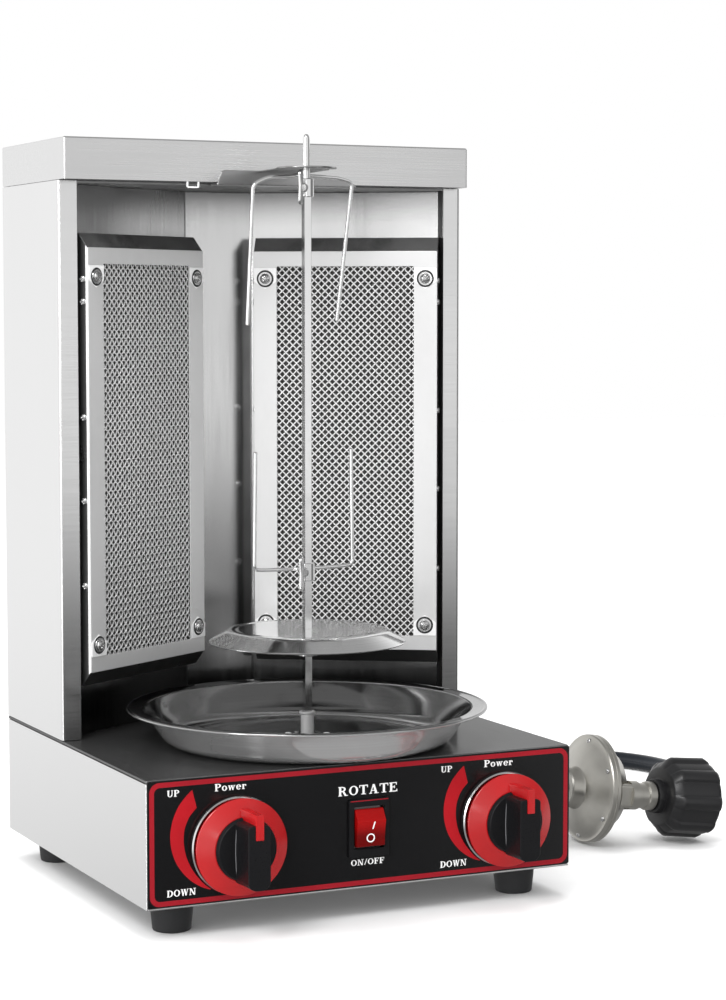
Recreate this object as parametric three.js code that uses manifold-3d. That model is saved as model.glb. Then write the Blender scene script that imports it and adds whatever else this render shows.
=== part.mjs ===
// Vertical rotisserie broiler: a gas-fired upright grill with two infrared burners, a motor-driven
// spit and a gas hose with its regulator. Millimetres, +Z up, front faces -Y.
// Every solid is drawn in the appliance frame, whose z = 0 is the underside of the base box; the
// outer group then lifts the appliance by the height of its feet.
import * as THREE from 'three';
import { mergeVertices } from 'three/addons/utils/BufferGeometryUtils.js';
import Module from 'manifold-3d';

const wasm = await Module();
wasm.setup();

// ---------------------------------------------------------------- driving dimensions
const GAP = 0.3;                 // clearance between touching pieces
const SHEET = 1.5;               // body sheet metal
const THIN = 1.2;                // light sheet metal

const WIDTH = 300;
const DEPTH = 278;
const BASE_HEIGHT = 81;
const FOOT_HEIGHT = 20;
const HALF_W = WIDTH / 2;
const FRONT_Y = -DEPTH / 2;
const BACK_Y = DEPTH / 2;

const TOWER_FRONT_Y = 19.5;
const TOWER_TOP = 455;
const COLUMN_FLANGE = 12.5;      // front flange of each tower side
const COLUMN_RETURN = 5.5;       // inward return behind that flange
const CAP_HEIGHT = 27.7;
const CAP_FRONT_Y = 7.6;

const SPIT_Y = -47;              // the spit stands at x = 0
const BAR = 5;                   // square spit bar
const BORE = 5.6;                // square bores that slide on the bar
const SCREW_BEARING = 50;        // degrees; the fork screws point between the left and the front

const BURNER_ANGLE = THREE.MathUtils.degToRad(32.7);
const BURNER_CENTRE = [74.8, 52.2];   // centre of the front face, |x| and y
const BURNER_HALF_W = 65.7;
const BURNER_BOTTOM = 126.3;
const BURNER_TOP = 411;
const BURNER_FRAME_DEPTH = 8;
const BURNER_FLARE = 9.6;        // rise of the sloped top and bottom of the frame
const BURNER_BACK = 19;          // back of the burner pan behind the front face
const LINER_OFFSET = 19.5;       // liner face behind the burner front face
const LINER_CENTRE_Y = 107;
const SUPPLY_Z = 150;            // height where the gas tube enters the burner pan
const SUPPLY_BACK = 40;          // distance of the down tube behind the burner face

const KNOB_Z = 36;
const KNOB_X = { left: -89.5, right: 100.5 };
const SWITCH_X = 1;
const SWITCH_Z = 39.2;

const INLET_X = 118;
const INLET_Z = 24;
const INLET_END_Y = 175.1;        // the rear fitting reaches as far back as the front parts do forward
const GLAND_X = -95;
const GLAND_Z = 30;

const SIDES = { left: -1, right: 1 };

// ---------------------------------------------------------------- materials
const metal = (color, roughness) => new THREE.MeshStandardMaterial({ color, roughness, metalness: 1 });
const plain = (color, roughness) => new THREE.MeshStandardMaterial({ color, roughness, metalness: 0 });

const BRUSHED = metal(0xd2d3d5, 0.3);
const MIRROR = metal(0x8d8f92, 0.12);
const POLISHED = metal(0x9da0a3, 0.15);
const GALVANISED = metal(0x9b9d9e, 0.5);
const WIRE = metal(0xc9cacc, 0.22);
const MESH = metal(0x77797b, 0.45);
const BRASS = metal(0xb9a35c, 0.35);
const ZINC = metal(0xb7b4ab, 0.4);
const CERAMIC = plain(0xcfc7b6, 0.9);
const BLACK_PANEL = plain(0x1c1c1f, 0.35);
const BLACK_PLASTIC = plain(0x141416, 0.4);
const RED_PLASTIC = plain(0xc2222a, 0.35);
const RUBBER = plain(0x232527, 0.8);
const HOSE_RUBBER = plain(0x1d2a3a, 0.45);

// ---------------------------------------------------------------- solid helpers
function toSolid(geometry) {
  const bare = geometry.clone();
  bare.deleteAttribute('normal');
  bare.deleteAttribute('uv');
  const merged = mergeVertices(bare, 1e-4);
  return new wasm.Manifold(new wasm.Mesh({
    numProp: 3,
    vertProperties: new Float32Array(merged.attributes.position.array),
    triVerts: new Uint32Array(merged.index.array),
  }));
}

function toGeometry(manifold) {
  const mesh = manifold.getMesh();
  const geometry = new THREE.BufferGeometry();
  geometry.setAttribute('position', new THREE.BufferAttribute(mesh.vertProperties, 3));
  geometry.setIndex(new THREE.BufferAttribute(mesh.triVerts, 1));
  geometry.computeVertexNormals();
  return geometry;
}

function box(x0, x1, y0, y1, z0, z1) {
  const geometry = new THREE.BoxGeometry(x1 - x0, y1 - y0, z1 - z0);
  geometry.translate((x0 + x1) / 2, (y0 + y1) / 2, (z0 + z1) / 2);
  return toSolid(geometry);
}

// A round bar from a to b along one axis; `at` gives the other two coordinates in x, y, z order.
function bar(axis, radius, a, b, at, sides = 24, radiusB = radius) {
  const geometry = new THREE.CylinderGeometry(radiusB, radius, b - a, sides);
  geometry.translate(0, (a + b) / 2, 0);
  if (axis === 'x') {
    geometry.rotateZ(-Math.PI / 2);
    geometry.translate(0, at[0], at[1]);
  } else if (axis === 'y') {
    geometry.translate(at[0], 0, at[1]);
  } else {
    geometry.rotateX(Math.PI / 2);
    geometry.translate(at[0], at[1], 0);
  }
  return toSolid(geometry);
}

// A turned solid: points are [radius, height] pairs about the z axis.
function turned(points, segments = 32) {
  const geometry = new THREE.LatheGeometry(points.map(([r, h]) => new THREE.Vector2(r, h)), segments);
  geometry.rotateX(Math.PI / 2);
  return toSolid(geometry);
}

function outline(points) {
  return new THREE.Shape(points.map(([x, y]) => new THREE.Vector2(x, y)));
}

// A plan outline raised from z0 to z1.
function raised(shape, z0, z1, curveSegments = 10) {
  const geometry = new THREE.ExtrudeGeometry(shape, { depth: z1 - z0, bevelEnabled: false, curveSegments });
  geometry.translate(0, 0, z0);
  return toSolid(geometry);
}

// A [y, z] profile drawn out along x from x0 to x1.
function alongX(points, x0, x1) {
  const geometry = new THREE.ExtrudeGeometry(outline(points), { depth: x1 - x0, bevelEnabled: false });
  geometry.applyMatrix4(new THREE.Matrix4().set(
    0, 0, 1, x0,
    1, 0, 0, 0,
    0, 1, 0, 0,
    0, 0, 0, 1,
  ));
  return toSolid(geometry);
}

// A round tube swept along a curve; always a closed solid with flat ends.
function swept(curve, radius, steps, sides = 10) {
  const section = new THREE.Shape();
  for (let i = 0; i < sides; i += 1) {
    const turn = (2 * Math.PI * i) / sides;
    const point = [radius * Math.cos(turn), radius * Math.sin(turn)];
    if (i === 0) section.moveTo(...point);
    else section.lineTo(...point);
  }
  section.closePath();
  return toSolid(new THREE.ExtrudeGeometry(section, { extrudePath: curve, steps, bevelEnabled: false }));
}

// A path of straight runs whose corners are rounded.
function roundedPath(points, radius) {
  const path = new THREE.CurvePath();
  const at = points.map((p) => new THREE.Vector3(...p));
  let from = at[0];
  for (let i = 1; i < at.length - 1; i += 1) {
    const back = at[i - 1].clone().sub(at[i]).setLength(radius);
    const ahead = at[i + 1].clone().sub(at[i]).setLength(radius);
    const start = at[i].clone().add(back);
    const end = at[i].clone().add(ahead);
    path.add(new THREE.LineCurve3(from, start));
    path.add(new THREE.QuadraticBezierCurve3(start, at[i], end));
    from = end;
  }
  path.add(new THREE.LineCurve3(from, at[at.length - 1]));
  return path;
}

const shifted = (manifold, x, y, z) => manifold.translate([x, y, z]);

// ---------------------------------------------------------------- groups
const appliance = new THREE.Group();
appliance.position.z = FOOT_HEIGHT;

function put(parent, name, solid, material) {
  const mesh = new THREE.Mesh(toGeometry(solid), material);
  mesh.name = name;
  parent.add(mesh);
  return mesh;
}

// ---------------------------------------------------------------- base
function makeBaseShell() {
  const wallTop = BASE_HEIGHT - 2.1;
  const front = FRONT_Y + SHEET;
  let shell = box(-HALF_W, HALF_W, front, BACK_Y, 0, wallTop)
    .subtract(box(-HALF_W + SHEET, HALF_W - SHEET, front + SHEET, BACK_Y - SHEET, -1, wallTop + 1));
  for (const side of ['left', 'right']) {
    shell = shell.subtract(bar('y', 7, front - 1, front + 3, [KNOB_X[side], KNOB_Z]));
  }
  return shell
    .subtract(box(SWITCH_X - 12.6, SWITCH_X + 12.6, front - 1, front + 3, SWITCH_Z - 16.1, SWITCH_Z + 16.1))
    .subtract(bar('y', 8.3, BACK_Y - 3, BACK_Y + 1, [INLET_X, INLET_Z]))
    .subtract(bar('y', 8.3, BACK_Y - 3, BACK_Y + 1, [GLAND_X, GLAND_Z]));
}

function makeBaseTop() {
  let top = box(-HALF_W, HALF_W, FRONT_Y + SHEET, BACK_Y, BASE_HEIGHT - 1.8, BASE_HEIGHT)
    .subtract(bar('z', 9, BASE_HEIGHT - 4, BASE_HEIGHT + 2, [0, SPIT_Y]));
  for (const sign of Object.values(SIDES)) {
    const [x, y] = downTubeAt(sign);
    top = top.subtract(bar('z', 9.5, BASE_HEIGHT - 4, BASE_HEIGHT + 2, [x, y]));
  }
  return top;
}

function makeBaseBottom() {
  const inset = SHEET + GAP;
  let plate = box(-HALF_W + inset, HALF_W - inset, FRONT_Y + SHEET + inset, BACK_Y - inset, 0, SHEET);
  for (let i = -2; i <= 2; i += 1) {
    plate = plate.subtract(box(i * 34 - 4, i * 34 + 4, 20, 80, -1, SHEET + 1));
  }
  return plate;
}

function makeFascia() {
  let panel = box(-HALF_W + 0.5, HALF_W - 0.5, FRONT_Y, FRONT_Y + THIN, 1.4, BASE_HEIGHT - 0.3);
  for (const side of ['left', 'right']) {
    panel = panel.subtract(bar('y', 7, FRONT_Y - 1, FRONT_Y + 3, [KNOB_X[side], KNOB_Z]));
  }
  return panel.subtract(
    box(SWITCH_X - 12.6, SWITCH_X + 12.6, FRONT_Y - 1, FRONT_Y + 3, SWITCH_Z - 16.1, SWITCH_Z + 16.1),
  );
}

function makeFoot(x, y) {
  const foot = turned([[0, -FOOT_HEIGHT], [12.2, -FOOT_HEIGHT], [13.2, -FOOT_HEIGHT + 1.5],
    [14, -3], [14, -GAP], [0, -GAP]], 20);
  return shifted(foot, x, y, 0);
}

// ---------------------------------------------------------------- tower
function makeTowerSide(sign) {
  const outer = HALF_W;
  const inner = HALF_W - SHEET;
  const lip = HALF_W - COLUMN_FLANGE;
  const front = TOWER_FRONT_Y;
  const section = [
    [outer, front], [outer, BACK_Y], [inner, BACK_Y], [inner, front + SHEET],
    [lip + SHEET, front + SHEET], [lip + SHEET, front + COLUMN_RETURN],
    [lip, front + COLUMN_RETURN], [lip, front],
  ].map(([x, y]) => [sign * x, y]);
  if (sign < 0) section.reverse();
  return raised(outline(section), BASE_HEIGHT + GAP, TOWER_TOP);
}

function makeTowerBack() {
  const half = HALF_W - SHEET - GAP;
  let panel = box(-half, half, BACK_Y - SHEET, BACK_Y, BASE_HEIGHT + GAP, TOWER_TOP);
  for (let row = 0; row < 5; row += 1) {
    const z = 350 + row * 16;
    panel = panel.subtract(box(-60, 60, BACK_Y - 3, BACK_Y + 1, z, z + 5));
  }
  return panel;
}

// Plan outline of the liner face at a given distance in front of or behind the drawn face.
function linerFace(offset) {
  const cos = Math.cos(BURNER_ANGLE);
  const sin = Math.sin(BURNER_ANGLE);
  const distance = LINER_OFFSET + offset;
  const x0 = -BURNER_CENTRE[0] - distance * sin;
  const y0 = BURNER_CENTRE[1] + distance * cos;
  const edge = -HALF_W + SHEET + GAP;
  const centreY = LINER_CENTRE_Y + offset;
  const edgeY = y0 + ((edge - x0) * sin) / cos;
  const foldX = x0 + ((centreY - y0) * cos) / sin;
  return [[edge, edgeY], [foldX, centreY], [-foldX, centreY], [-edge, edgeY]];
}

function makeLiner() {
  const wall = outline([...linerFace(0), ...linerFace(THIN).reverse()]);
  let liner = raised(wall, BASE_HEIGHT + GAP, TOWER_TOP - 1.8);
  for (const sign of Object.values(SIDES)) {
    const hole = bar('y', 9.5, LINER_OFFSET - 4, LINER_OFFSET + 4, [0, SUPPLY_Z]);
    liner = liner.subtract(inBurnerFrame(hole, sign));
  }
  return liner;
}

function makeCeiling() {
  const half = HALF_W - COLUMN_FLANGE - GAP;
  let plate = box(-half, half, TOWER_FRONT_Y + 1.8, BACK_Y - SHEET - GAP, TOWER_TOP - 1.5, TOWER_TOP - GAP);
  for (let i = -2; i <= 2; i += 1) {
    plate = plate.subtract(box(i * 44 - 14, i * 44 + 14, 60, 72, TOWER_TOP - 4, TOWER_TOP + 1));
  }
  return plate;
}

function makeCap() {
  const half = HALF_W - 0.5;
  const bottom = TOWER_TOP + GAP;
  const top = bottom + CAP_HEIGHT;
  const back = BACK_Y + 1;
  let cap = box(-half, half, CAP_FRONT_Y, back, bottom, top)
    .subtract(box(-half + THIN, half - THIN, CAP_FRONT_Y + THIN, back - THIN, bottom - 1, top - THIN));
  const hem = box(-half + 0.5, half - 0.5, CAP_FRONT_Y + 0.5, CAP_FRONT_Y + 13, bottom, bottom + THIN);
  cap = cap.add(hem);
  for (let i = -3; i <= 3; i += 1) {
    cap = cap.subtract(box(i * 30 - 9, i * 30 + 9, back - 3, back + 1, bottom + 9, bottom + 17));
  }
  return cap;
}

// Bracket under the cap whose open hook steadies the top of the spit.
function makeHookBracket() {
  const plateTop = 463.4;
  const thick = THIN;
  const rise = CAP_FRONT_Y - GAP;
  const tab = box(-42, 62, rise - thick, CAP_FRONT_Y + 12, TOWER_TOP - thick - GAP, TOWER_TOP - GAP);
  const foot = TOWER_TOP - thick - GAP;
  const upstand = raised(outline([
    [-42, foot], [62, foot], [61, foot + 2], [48, foot + 5], [24, foot + 7.6], [8, plateTop], [-38, plateTop],
  ]), 0, thick).rotate([90, 0, 0]).translate([0, rise, 0]);
  const arm = new THREE.Shape();
  arm.moveTo(-12, rise);
  arm.lineTo(-15.5, SPIT_Y + 14);
  arm.absarc(0, SPIT_Y, 20, Math.PI * 0.82, Math.PI * 1.88, false);
  arm.lineTo(18.8, SPIT_Y - 3.6);
  arm.lineTo(0, SPIT_Y - 3.6);
  arm.absarc(0, SPIT_Y, 3.6, Math.PI * 1.5, Math.PI * 0.5, true);
  arm.lineTo(20, SPIT_Y + 5);
  arm.lineTo(29, rise);
  arm.closePath();
  return tab.add(upstand).add(raised(arm, plateTop - thick, plateTop, 16));
}

// ---------------------------------------------------------------- burners
// Burner pieces are drawn with x across the burner, y backwards from its front face, z up.
function burnerGroup(sign) {
  const group = new THREE.Group();
  group.position.set(sign * BURNER_CENTRE[0], BURNER_CENTRE[1], 0);
  group.rotation.z = -sign * BURNER_ANGLE;
  return group;
}

function inBurnerFrame(manifold, sign) {
  const degrees = THREE.MathUtils.radToDeg(-sign * BURNER_ANGLE);
  return manifold.rotate([0, 0, degrees]).translate([sign * BURNER_CENTRE[0], BURNER_CENTRE[1], 0]);
}

function downTubeAt(sign) {
  const sin = Math.sin(BURNER_ANGLE);
  const cos = Math.cos(BURNER_ANGLE);
  return [sign * (BURNER_CENTRE[0] + SUPPLY_BACK * sin), BURNER_CENTRE[1] + SUPPLY_BACK * cos];
}

function makeBurnerFrame() {
  const w = BURNER_HALF_W;
  const d = BURNER_FRAME_DEPTH;
  const z0 = BURNER_BOTTOM;
  const z1 = BURNER_TOP;
  const f = BURNER_FLARE;
  const t = THIN;
  const skin = alongX([[0, z0], [d, z0 - f], [d, z1 + f], [0, z1]], -w, w);
  const hollow = alongX(
    [[t, z0 + 0.8], [d + 1, z0 - f + 0.4], [d + 1, z1 + f - 0.4], [t, z1 - 0.8]],
    -w + t,
    w - t,
  );
  const window = box(-49.2, 49.2, -1, t + 1, z0 + 10.2, z1 - 10.8);
  return skin.subtract(hollow).subtract(window);
}

function makeBurnerMesh() {
  return box(-54, 54, THIN + GAP, THIN + GAP + 1, BURNER_BOTTOM + 5, BURNER_TOP - 5);
}

function makeCeramicTile() {
  return box(-56, 56, 4.4, 15, BURNER_BOTTOM + 4, BURNER_TOP - 4);
}

function makeBurnerPan() {
  const w = BURNER_HALF_W;
  const z0 = BURNER_BOTTOM - BURNER_FLARE;
  const z1 = BURNER_TOP + BURNER_FLARE;
  const front = BURNER_FRAME_DEPTH + GAP;
  return box(-w, w, front, BURNER_BACK, z0, z1)
    .subtract(box(-w + THIN, w - THIN, front - 1, BURNER_BACK - THIN, z0 + THIN, z1 - THIN))
    .subtract(bar('y', 6.5, BURNER_BACK - 4, BURNER_BACK + 1, [0, SUPPLY_Z]));
}

// Air-and-gas tube: from behind the pan, down through the base top and forward to the valve.
function makeMixingTube(side) {
  const sign = SIDES[side];
  const [x, y] = downTubeAt(sign);
  const sin = Math.sin(BURNER_ANGLE);
  const cos = Math.cos(BURNER_ANGLE);
  const start = BURNER_BACK + GAP;
  const mouth = [sign * (BURNER_CENTRE[0] + start * sin), BURNER_CENTRE[1] + start * cos, SUPPLY_Z];
  const path = roundedPath([
    mouth, [x, y, SUPPLY_Z], [x, y, KNOB_Z + 4], [KNOB_X[side], -78, KNOB_Z],
  ], 14);
  return swept(path, 7, 26, 8);
}

// ---------------------------------------------------------------- spit and drive
function makeDriveSocket() {
  const socket = turned([[0, 62], [3, 62], [3, 71], [4.5, 71], [4.5, 99], [5.6, 99.6], [5.6, 101], [0, 101]], 24)
    .subtract(box(-BORE / 2, BORE / 2, -BORE / 2, BORE / 2, 87.7, 103));
  return shifted(socket, 0, SPIT_Y, 0);
}

function makeSpitRod() {
  const square = box(-BAR / 2, BAR / 2, -BAR / 2, BAR / 2, 88, 452);
  const tip = turned([[0, 451], [2.35, 451], [2.35, 481], [2.1, 483.2], [1.3, 484.7], [0, 485.2]], 16);
  return shifted(square.add(tip), 0, SPIT_Y, 0);
}

function makeGearMotor() {
  return bar('z', 24.5, 48, 60, [0, SPIT_Y], 32)
    .add(bar('z', 21, 30, 49, [0, SPIT_Y], 32))
    .add(box(-33, 33, SPIT_Y - 6, SPIT_Y + 6, 58.5, 60))
    .subtract(bar('z', 3.6, 54, 64, [0, SPIT_Y], 20));
}

function makeMotorBracket() {
  const t = SHEET;
  const low = 60.3;
  const high = BASE_HEIGHT - 1.8 - GAP;
  const hat = [
    [-58, high], [-58, high - t], [-46, high - t], [-46, low], [46, low], [46, high - t],
    [58, high - t], [58, high], [44.5, high], [44.5, low + t], [-44.5, low + t], [-44.5, high],
  ];
  const geometry = new THREE.ExtrudeGeometry(outline(hat), { depth: 40, bevelEnabled: false });
  geometry.rotateX(Math.PI / 2);
  geometry.translate(0, SPIT_Y + 20, 0);
  return toSolid(geometry).subtract(bar('z', 8, low - 1, low + 3, [0, SPIT_Y]));
}

function makeDripTray() {
  const rim = 121;
  const floor = BASE_HEIGHT + GAP;
  const outside = [[8.5, 85], [16, floor], [88, floor], [95, floor + 1.8], [99.6, floor + 6.6],
    [110.6, 103.4], [rim, 104.4]];
  const inside = [[rim, 105.8], [109.4, 104.8], [98, floor + 7.2], [94, floor + 3.1], [87.6, floor + THIN],
    [16.4, floor + THIN], [8.5, 86.4]];
  const profile = [...outside, ...inside, outside[0]];
  return shifted(turned(profile, 40), 0, SPIT_Y, 0);
}

const PLATE_SCREW_Z = 142.8;

function makeMeatPlate() {
  const plate = turned([
    [0, 155.4], [52.5, 155.4], [54.4, 153.6], [65.4, 147.6], [65.9, 148.6], [55.4, 154.9],
    [53, 156.6], [0, 156.6],
  ], 36);
  return shifted(
    plate.add(bar('z', 7, 138.6, 156, [0, 0], 20))
      .subtract(box(-BORE / 2, BORE / 2, -BORE / 2, BORE / 2, 130, 160))
      .subtract(bar('x', 1.9, -9, -2, [0, PLATE_SCREW_Z], 12)),
    0,
    SPIT_Y,
    0,
  );
}

// Thumb screw whose shank enters a hub; drawn along -x from the bar, wings upright unless rolled flat.
function makeThumbScrew(z, hubRadius, bearing, roll = 90) {
  const reach = hubRadius + GAP;
  const shank = bar('x', 1.5, -reach - 1, -4.2, [0, z], 10);
  const collar = bar('x', 3, -reach - 4, -reach, [0, z], 12);
  const wings = raised(wingOutline(), -1, 1, 5).rotate([roll, 0, 0]).translate([-reach - 6.4, 0, z]);
  const degrees = bearing;
  return shank.add(collar).add(wings).rotate([0, 0, degrees]).translate([0, SPIT_Y, 0]);
}

// Two rounded ears joined by a short bridge.
function wingOutline() {
  const ears = new THREE.Shape();
  ears.moveTo(3.4, -2.6);
  ears.lineTo(3.4, 2.6);
  ears.absarc(-1.6, 8.2, 3.4, 0, Math.PI, false);
  ears.lineTo(-3.6, 0);
  ears.lineTo(-5, -8.2);
  ears.absarc(-1.6, -8.2, 3.4, Math.PI, 2 * Math.PI, false);
  ears.closePath();
  return ears;
}

// Two-prong wire fork on a hub. Shoulders are [left, right] heights, and `prong` is the signed
// length of the prongs; `lean` and `pinch` move their tips sideways.
function makeFork({ hub0, hub1, archZ, shoulders, prong, lean, pinch }) {
  const half = 36;
  const wireRadius = 1.3;
  const backY = 5.3;
  const quarter = half * 0.72;
  const points = [
    [-half + pinch + lean, backY, shoulders[0] + prong],
    [-half, backY, shoulders[0]],
    [-quarter, backY, THREE.MathUtils.lerp(shoulders[0], archZ, 0.7)],
    [0, backY, archZ],
    [quarter, backY, THREE.MathUtils.lerp(shoulders[1], archZ, 0.7)],
    [half, backY, shoulders[1]],
    [half - pinch + lean, backY, shoulders[1] + prong],
  ];
  const wire = swept(roundedPath(points, 4), wireRadius, 44, 6);
  const hub = bar('z', 5.2, hub0, hub1, [0, 0], 16);
  const lugTop = Math.max(archZ, hub1) + 0.4;
  const lug = box(-3, 3, 2.9, backY, Math.min(archZ, hub1) - 2.4, lugTop);
  const screwHole = bar('x', 1.9, -8, -2, [0, (hub0 + hub1) / 2], 12).rotate([0, 0, SCREW_BEARING]);
  return shifted(
    wire.add(hub).add(lug)
      .subtract(box(-BORE / 2, BORE / 2, -BORE / 2, BORE / 2, hub0 - 2, lugTop + 2))
      .subtract(screwHole),
    0,
    SPIT_Y,
    0,
  );
}

// ---------------------------------------------------------------- controls
// Knob pieces are turned about z and then laid along -y; `out` is the distance ahead of the fascia.
function onPanel(manifold, x, z) {
  return manifold.rotate([90, 0, 0]).translate([x, FRONT_Y, z]);
}

function makeKnobRing(x) {
  return onPanel(turned([[25.5, 0.3], [31.1, 0.3], [30.7, 1.6], [25.5, 1.6], [25.5, 0.3]], 40), x, KNOB_Z);
}

const KNOB_REACH = 36.1;         // furthest that a knob stands ahead of the fascia

function makeKnobSkirt(x) {
  const cone = turned([
    [8, 8.4], [26.6, 8.4], [29.3, 5.2], [31, 5.2], [31, 7.6], [20.8, 13], [8, 13], [8, 8.4],
  ], 40);
  const along = box(-2.7, 2.7, 24.3, 25.6, 9, KNOB_REACH);
  const stroke = box(-2.7, 2.7, 10, 25.6, KNOB_REACH - 0.6, KNOB_REACH);
  return onPanel(cone.add(along).add(stroke), x, KNOB_Z);
}

function makeKnobGrip(x) {
  const disc = turned([[0, 13.3], [20, 13.3], [19, 15.3], [0, 15.3]], 40);
  const grip = box(-7.5, 7.5, -21.7, 24, 14, KNOB_REACH - 0.9);
  return onPanel(disc.add(grip).subtract(bar('z', 4.3, 10, 24, [0, 0])), x, KNOB_Z);
}

function makeValveStem(x) {
  return onPanel(bar('z', 4, -14, 23.7, [0, 0], 16), x, KNOB_Z);
}

// Turning plug inside the valve: a cup that the sliding stem enters.
function makeValvePlug(x) {
  return onPanel(bar('z', 6.5, -28, -9, [0, 0], 20).subtract(bar('z', 4.4, -22, -8, [0, 0], 16)), x, KNOB_Z);
}

function makeValveBody(x) {
  const body = box(-12, 12, -11, 11, -35, -6)
    .add(bar('z', 5, -52, -34, [0, 0], 16))
    .subtract(bar('z', 7, -29, -5, [0, 0], 20));
  return onPanel(body, x, KNOB_Z);
}

function makeSwitchHousing() {
  const pocketW = 11.9;
  const pocketH = 14.7;
  const front = FRONT_Y - GAP;
  let housing = box(-14.3, 14.3, front - 2, front, -18.7, 18.7)
    .add(box(-12.3, 12.3, front - 0.5, FRONT_Y + 17, -15.8, 15.8))
    .subtract(box(-pocketW + 0.7, pocketW - 0.7, front - 3, FRONT_Y + 11, -pocketH, pocketH));
  for (const z of [-9, 0, 9]) {
    housing = housing.add(box(-3, 3, FRONT_Y + 16, FRONT_Y + 25, z - 0.4, z + 0.4));
  }
  return shifted(housing, SWITCH_X, 0, SWITCH_Z);
}

function makeRocker() {
  const pivotY = FRONT_Y + 2.5;
  const profile = [[-4, 12.9], [-8.5, 5], [-6.8, -12.9], [-1, -12.9], [5, -5], [5, 5], [0, 12.9]]
    .map(([y, z]) => [pivotY + y, z]).reverse();
  return shifted(alongX(profile, -10.9, 10.9), SWITCH_X, 0, SWITCH_Z);
}

// ---------------------------------------------------------------- gas train and rear fittings
const MANIFOLD_Y = -112;
const MANIFOLD_Z = 17;

function makeManifoldPipe() {
  const radius = 5;
  const rail = bar('x', radius, KNOB_X.left - 8, INLET_X - 10, [MANIFOLD_Y, MANIFOLD_Z], 16);
  const run = swept(roundedPath([
    [INLET_X - 24, MANIFOLD_Y, MANIFOLD_Z], [INLET_X, MANIFOLD_Y, MANIFOLD_Z], [INLET_X, 70, MANIFOLD_Z],
    [INLET_X, 100, INLET_Z], [INLET_X, 126, INLET_Z],
  ], 12), radius - 0.4, 22, 8);
  const stub = (x) => bar('z', 4, MANIFOLD_Z, KNOB_Z - 11 - GAP, [x, MANIFOLD_Y], 16);
  return rail.add(run).add(stub(KNOB_X.left)).add(stub(KNOB_X.right));
}

function makeGasInlet() {
  const hex = (radius, y0, y1) => bar('y', radius, y0, y1, [INLET_X, INLET_Z], 6);
  const round = (radius, y0, y1) => bar('y', radius, y0, y1, [INLET_X, INLET_Z], 24);
  return round(7.8, 126 + GAP, 148).add(hex(12.5, 139 + GAP, 146)).add(round(8.4, 145, 157))
    .add(hex(11.5, 153, 162)).add(round(7.4, 161, INLET_END_Y - 1))
    .add(bar('y', 7.4, INLET_END_Y - 1.1, INLET_END_Y, [INLET_X, INLET_Z], 24, 5.6))
    .subtract(round(3, 120, INLET_END_Y + 5));
}

function makeCableGland() {
  const at = [GLAND_X, GLAND_Z];
  return bar('y', 7.8, 130, 142, at, 20).add(bar('y', 12, 139 + GAP, 144, at, 6))
    .add(bar('y', 10.5, 143, 153, at, 20, 8)).add(bar('y', 12, 133, 137, at, 6))
    .subtract(bar('y', 4, 125, 160, at, 16));
}

// ---------------------------------------------------------------- hose and regulator
// The hose is drawn in the frame of the table (z = 0 on the table).
const HOSE_RADIUS = 6.5;
const HOSE_REST_Z = 6.8;         // centre of a hose lying on the table
const LOOP_CENTRE = [342, 192];
const LOOP_RADIUS = 98;
const REGULATOR = [258, -3, 38.8];
const REGULATOR_TILT = 6.8;      // degrees; the handwheel and the bonnet rim both rest low
const FERRULE_START_Y = INLET_END_Y + GAP + 18 + GAP;
const HOSE_START_Y = FERRULE_START_Y + 23 + GAP;
const HOSE_END_Y = REGULATOR[1] + 65.6;

function hosePoints() {
  const lead = [
    [118, HOSE_START_Y, 44], [118, 230, 43.7], [120.5, 245, 39.5], [128, 262, 32], [141, 277, 23],
    [159, 286, 14.5], [179, 287, 9], [199, 280, 6.8], [216, 267, 6.8], [229, 249, 6.8],
    [237, 228, 6.8], [241.5, 205, 6.8], [244, 182, 6.8],
  ];
  const loop = [];
  const steps = 16;
  for (let i = 0; i <= steps; i += 1) {
    const turn = THREE.MathUtils.degToRad(200 + (280 * i) / steps);
    loop.push([
      LOOP_CENTRE[0] + LOOP_RADIUS * Math.cos(turn),
      LOOP_CENTRE[1] + LOOP_RADIUS * Math.sin(turn),
      HOSE_REST_Z,
    ]);
  }
  const tail = [
    [268.5, 257, 9.5], [251.5, 234, 15.5], [241, 211, 21.2], [236, 187, 26], [236.5, 160, 30.8],
    [242.5, 132, 34.8], [251.5, 106, 37.8], [257.2, 84, 38.8], [258, 72, 38.8],
    [REGULATOR[0], HOSE_END_Y, REGULATOR[2]],
  ];
  return [...lead, ...loop, ...tail];
}

function makeHose() {
  const curve = new THREE.CatmullRomCurve3(hosePoints().map((p) => new THREE.Vector3(...p)));
  return swept(curve, HOSE_RADIUS, 64, 8);
}

function makeFlareNut() {
  const at = [INLET_X, INLET_Z + FOOT_HEIGHT];
  const y0 = INLET_END_Y + GAP;
  return bar('y', 9.8, y0, y0 + 12, at, 6).add(bar('y', 8.2, y0 + 11.9, y0 + 18, at, 20));
}

function makeFerrule(y0, x, z) {
  return bar('y', 7.6, y0, y0 + 3, [x, z], 20).add(bar('y', 8.1, y0 + 2.9, y0 + 23, [x, z], 20));
}

// Regulator pieces: x along the outlet, z from the bonnet cap towards the handwheel.
function regulatorGroup() {
  const group = new THREE.Group();
  group.position.set(...REGULATOR);
  const outlet = new THREE.Vector3(0, 1, 0);
  const tilt = THREE.MathUtils.degToRad(REGULATOR_TILT);
  const down = new THREE.Vector3(Math.cos(tilt), 0, -Math.sin(tilt));
  const side = new THREE.Vector3().crossVectors(down, outlet);
  group.setRotationFromMatrix(new THREE.Matrix4().makeBasis(outlet, side, down));
  return group;
}

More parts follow.
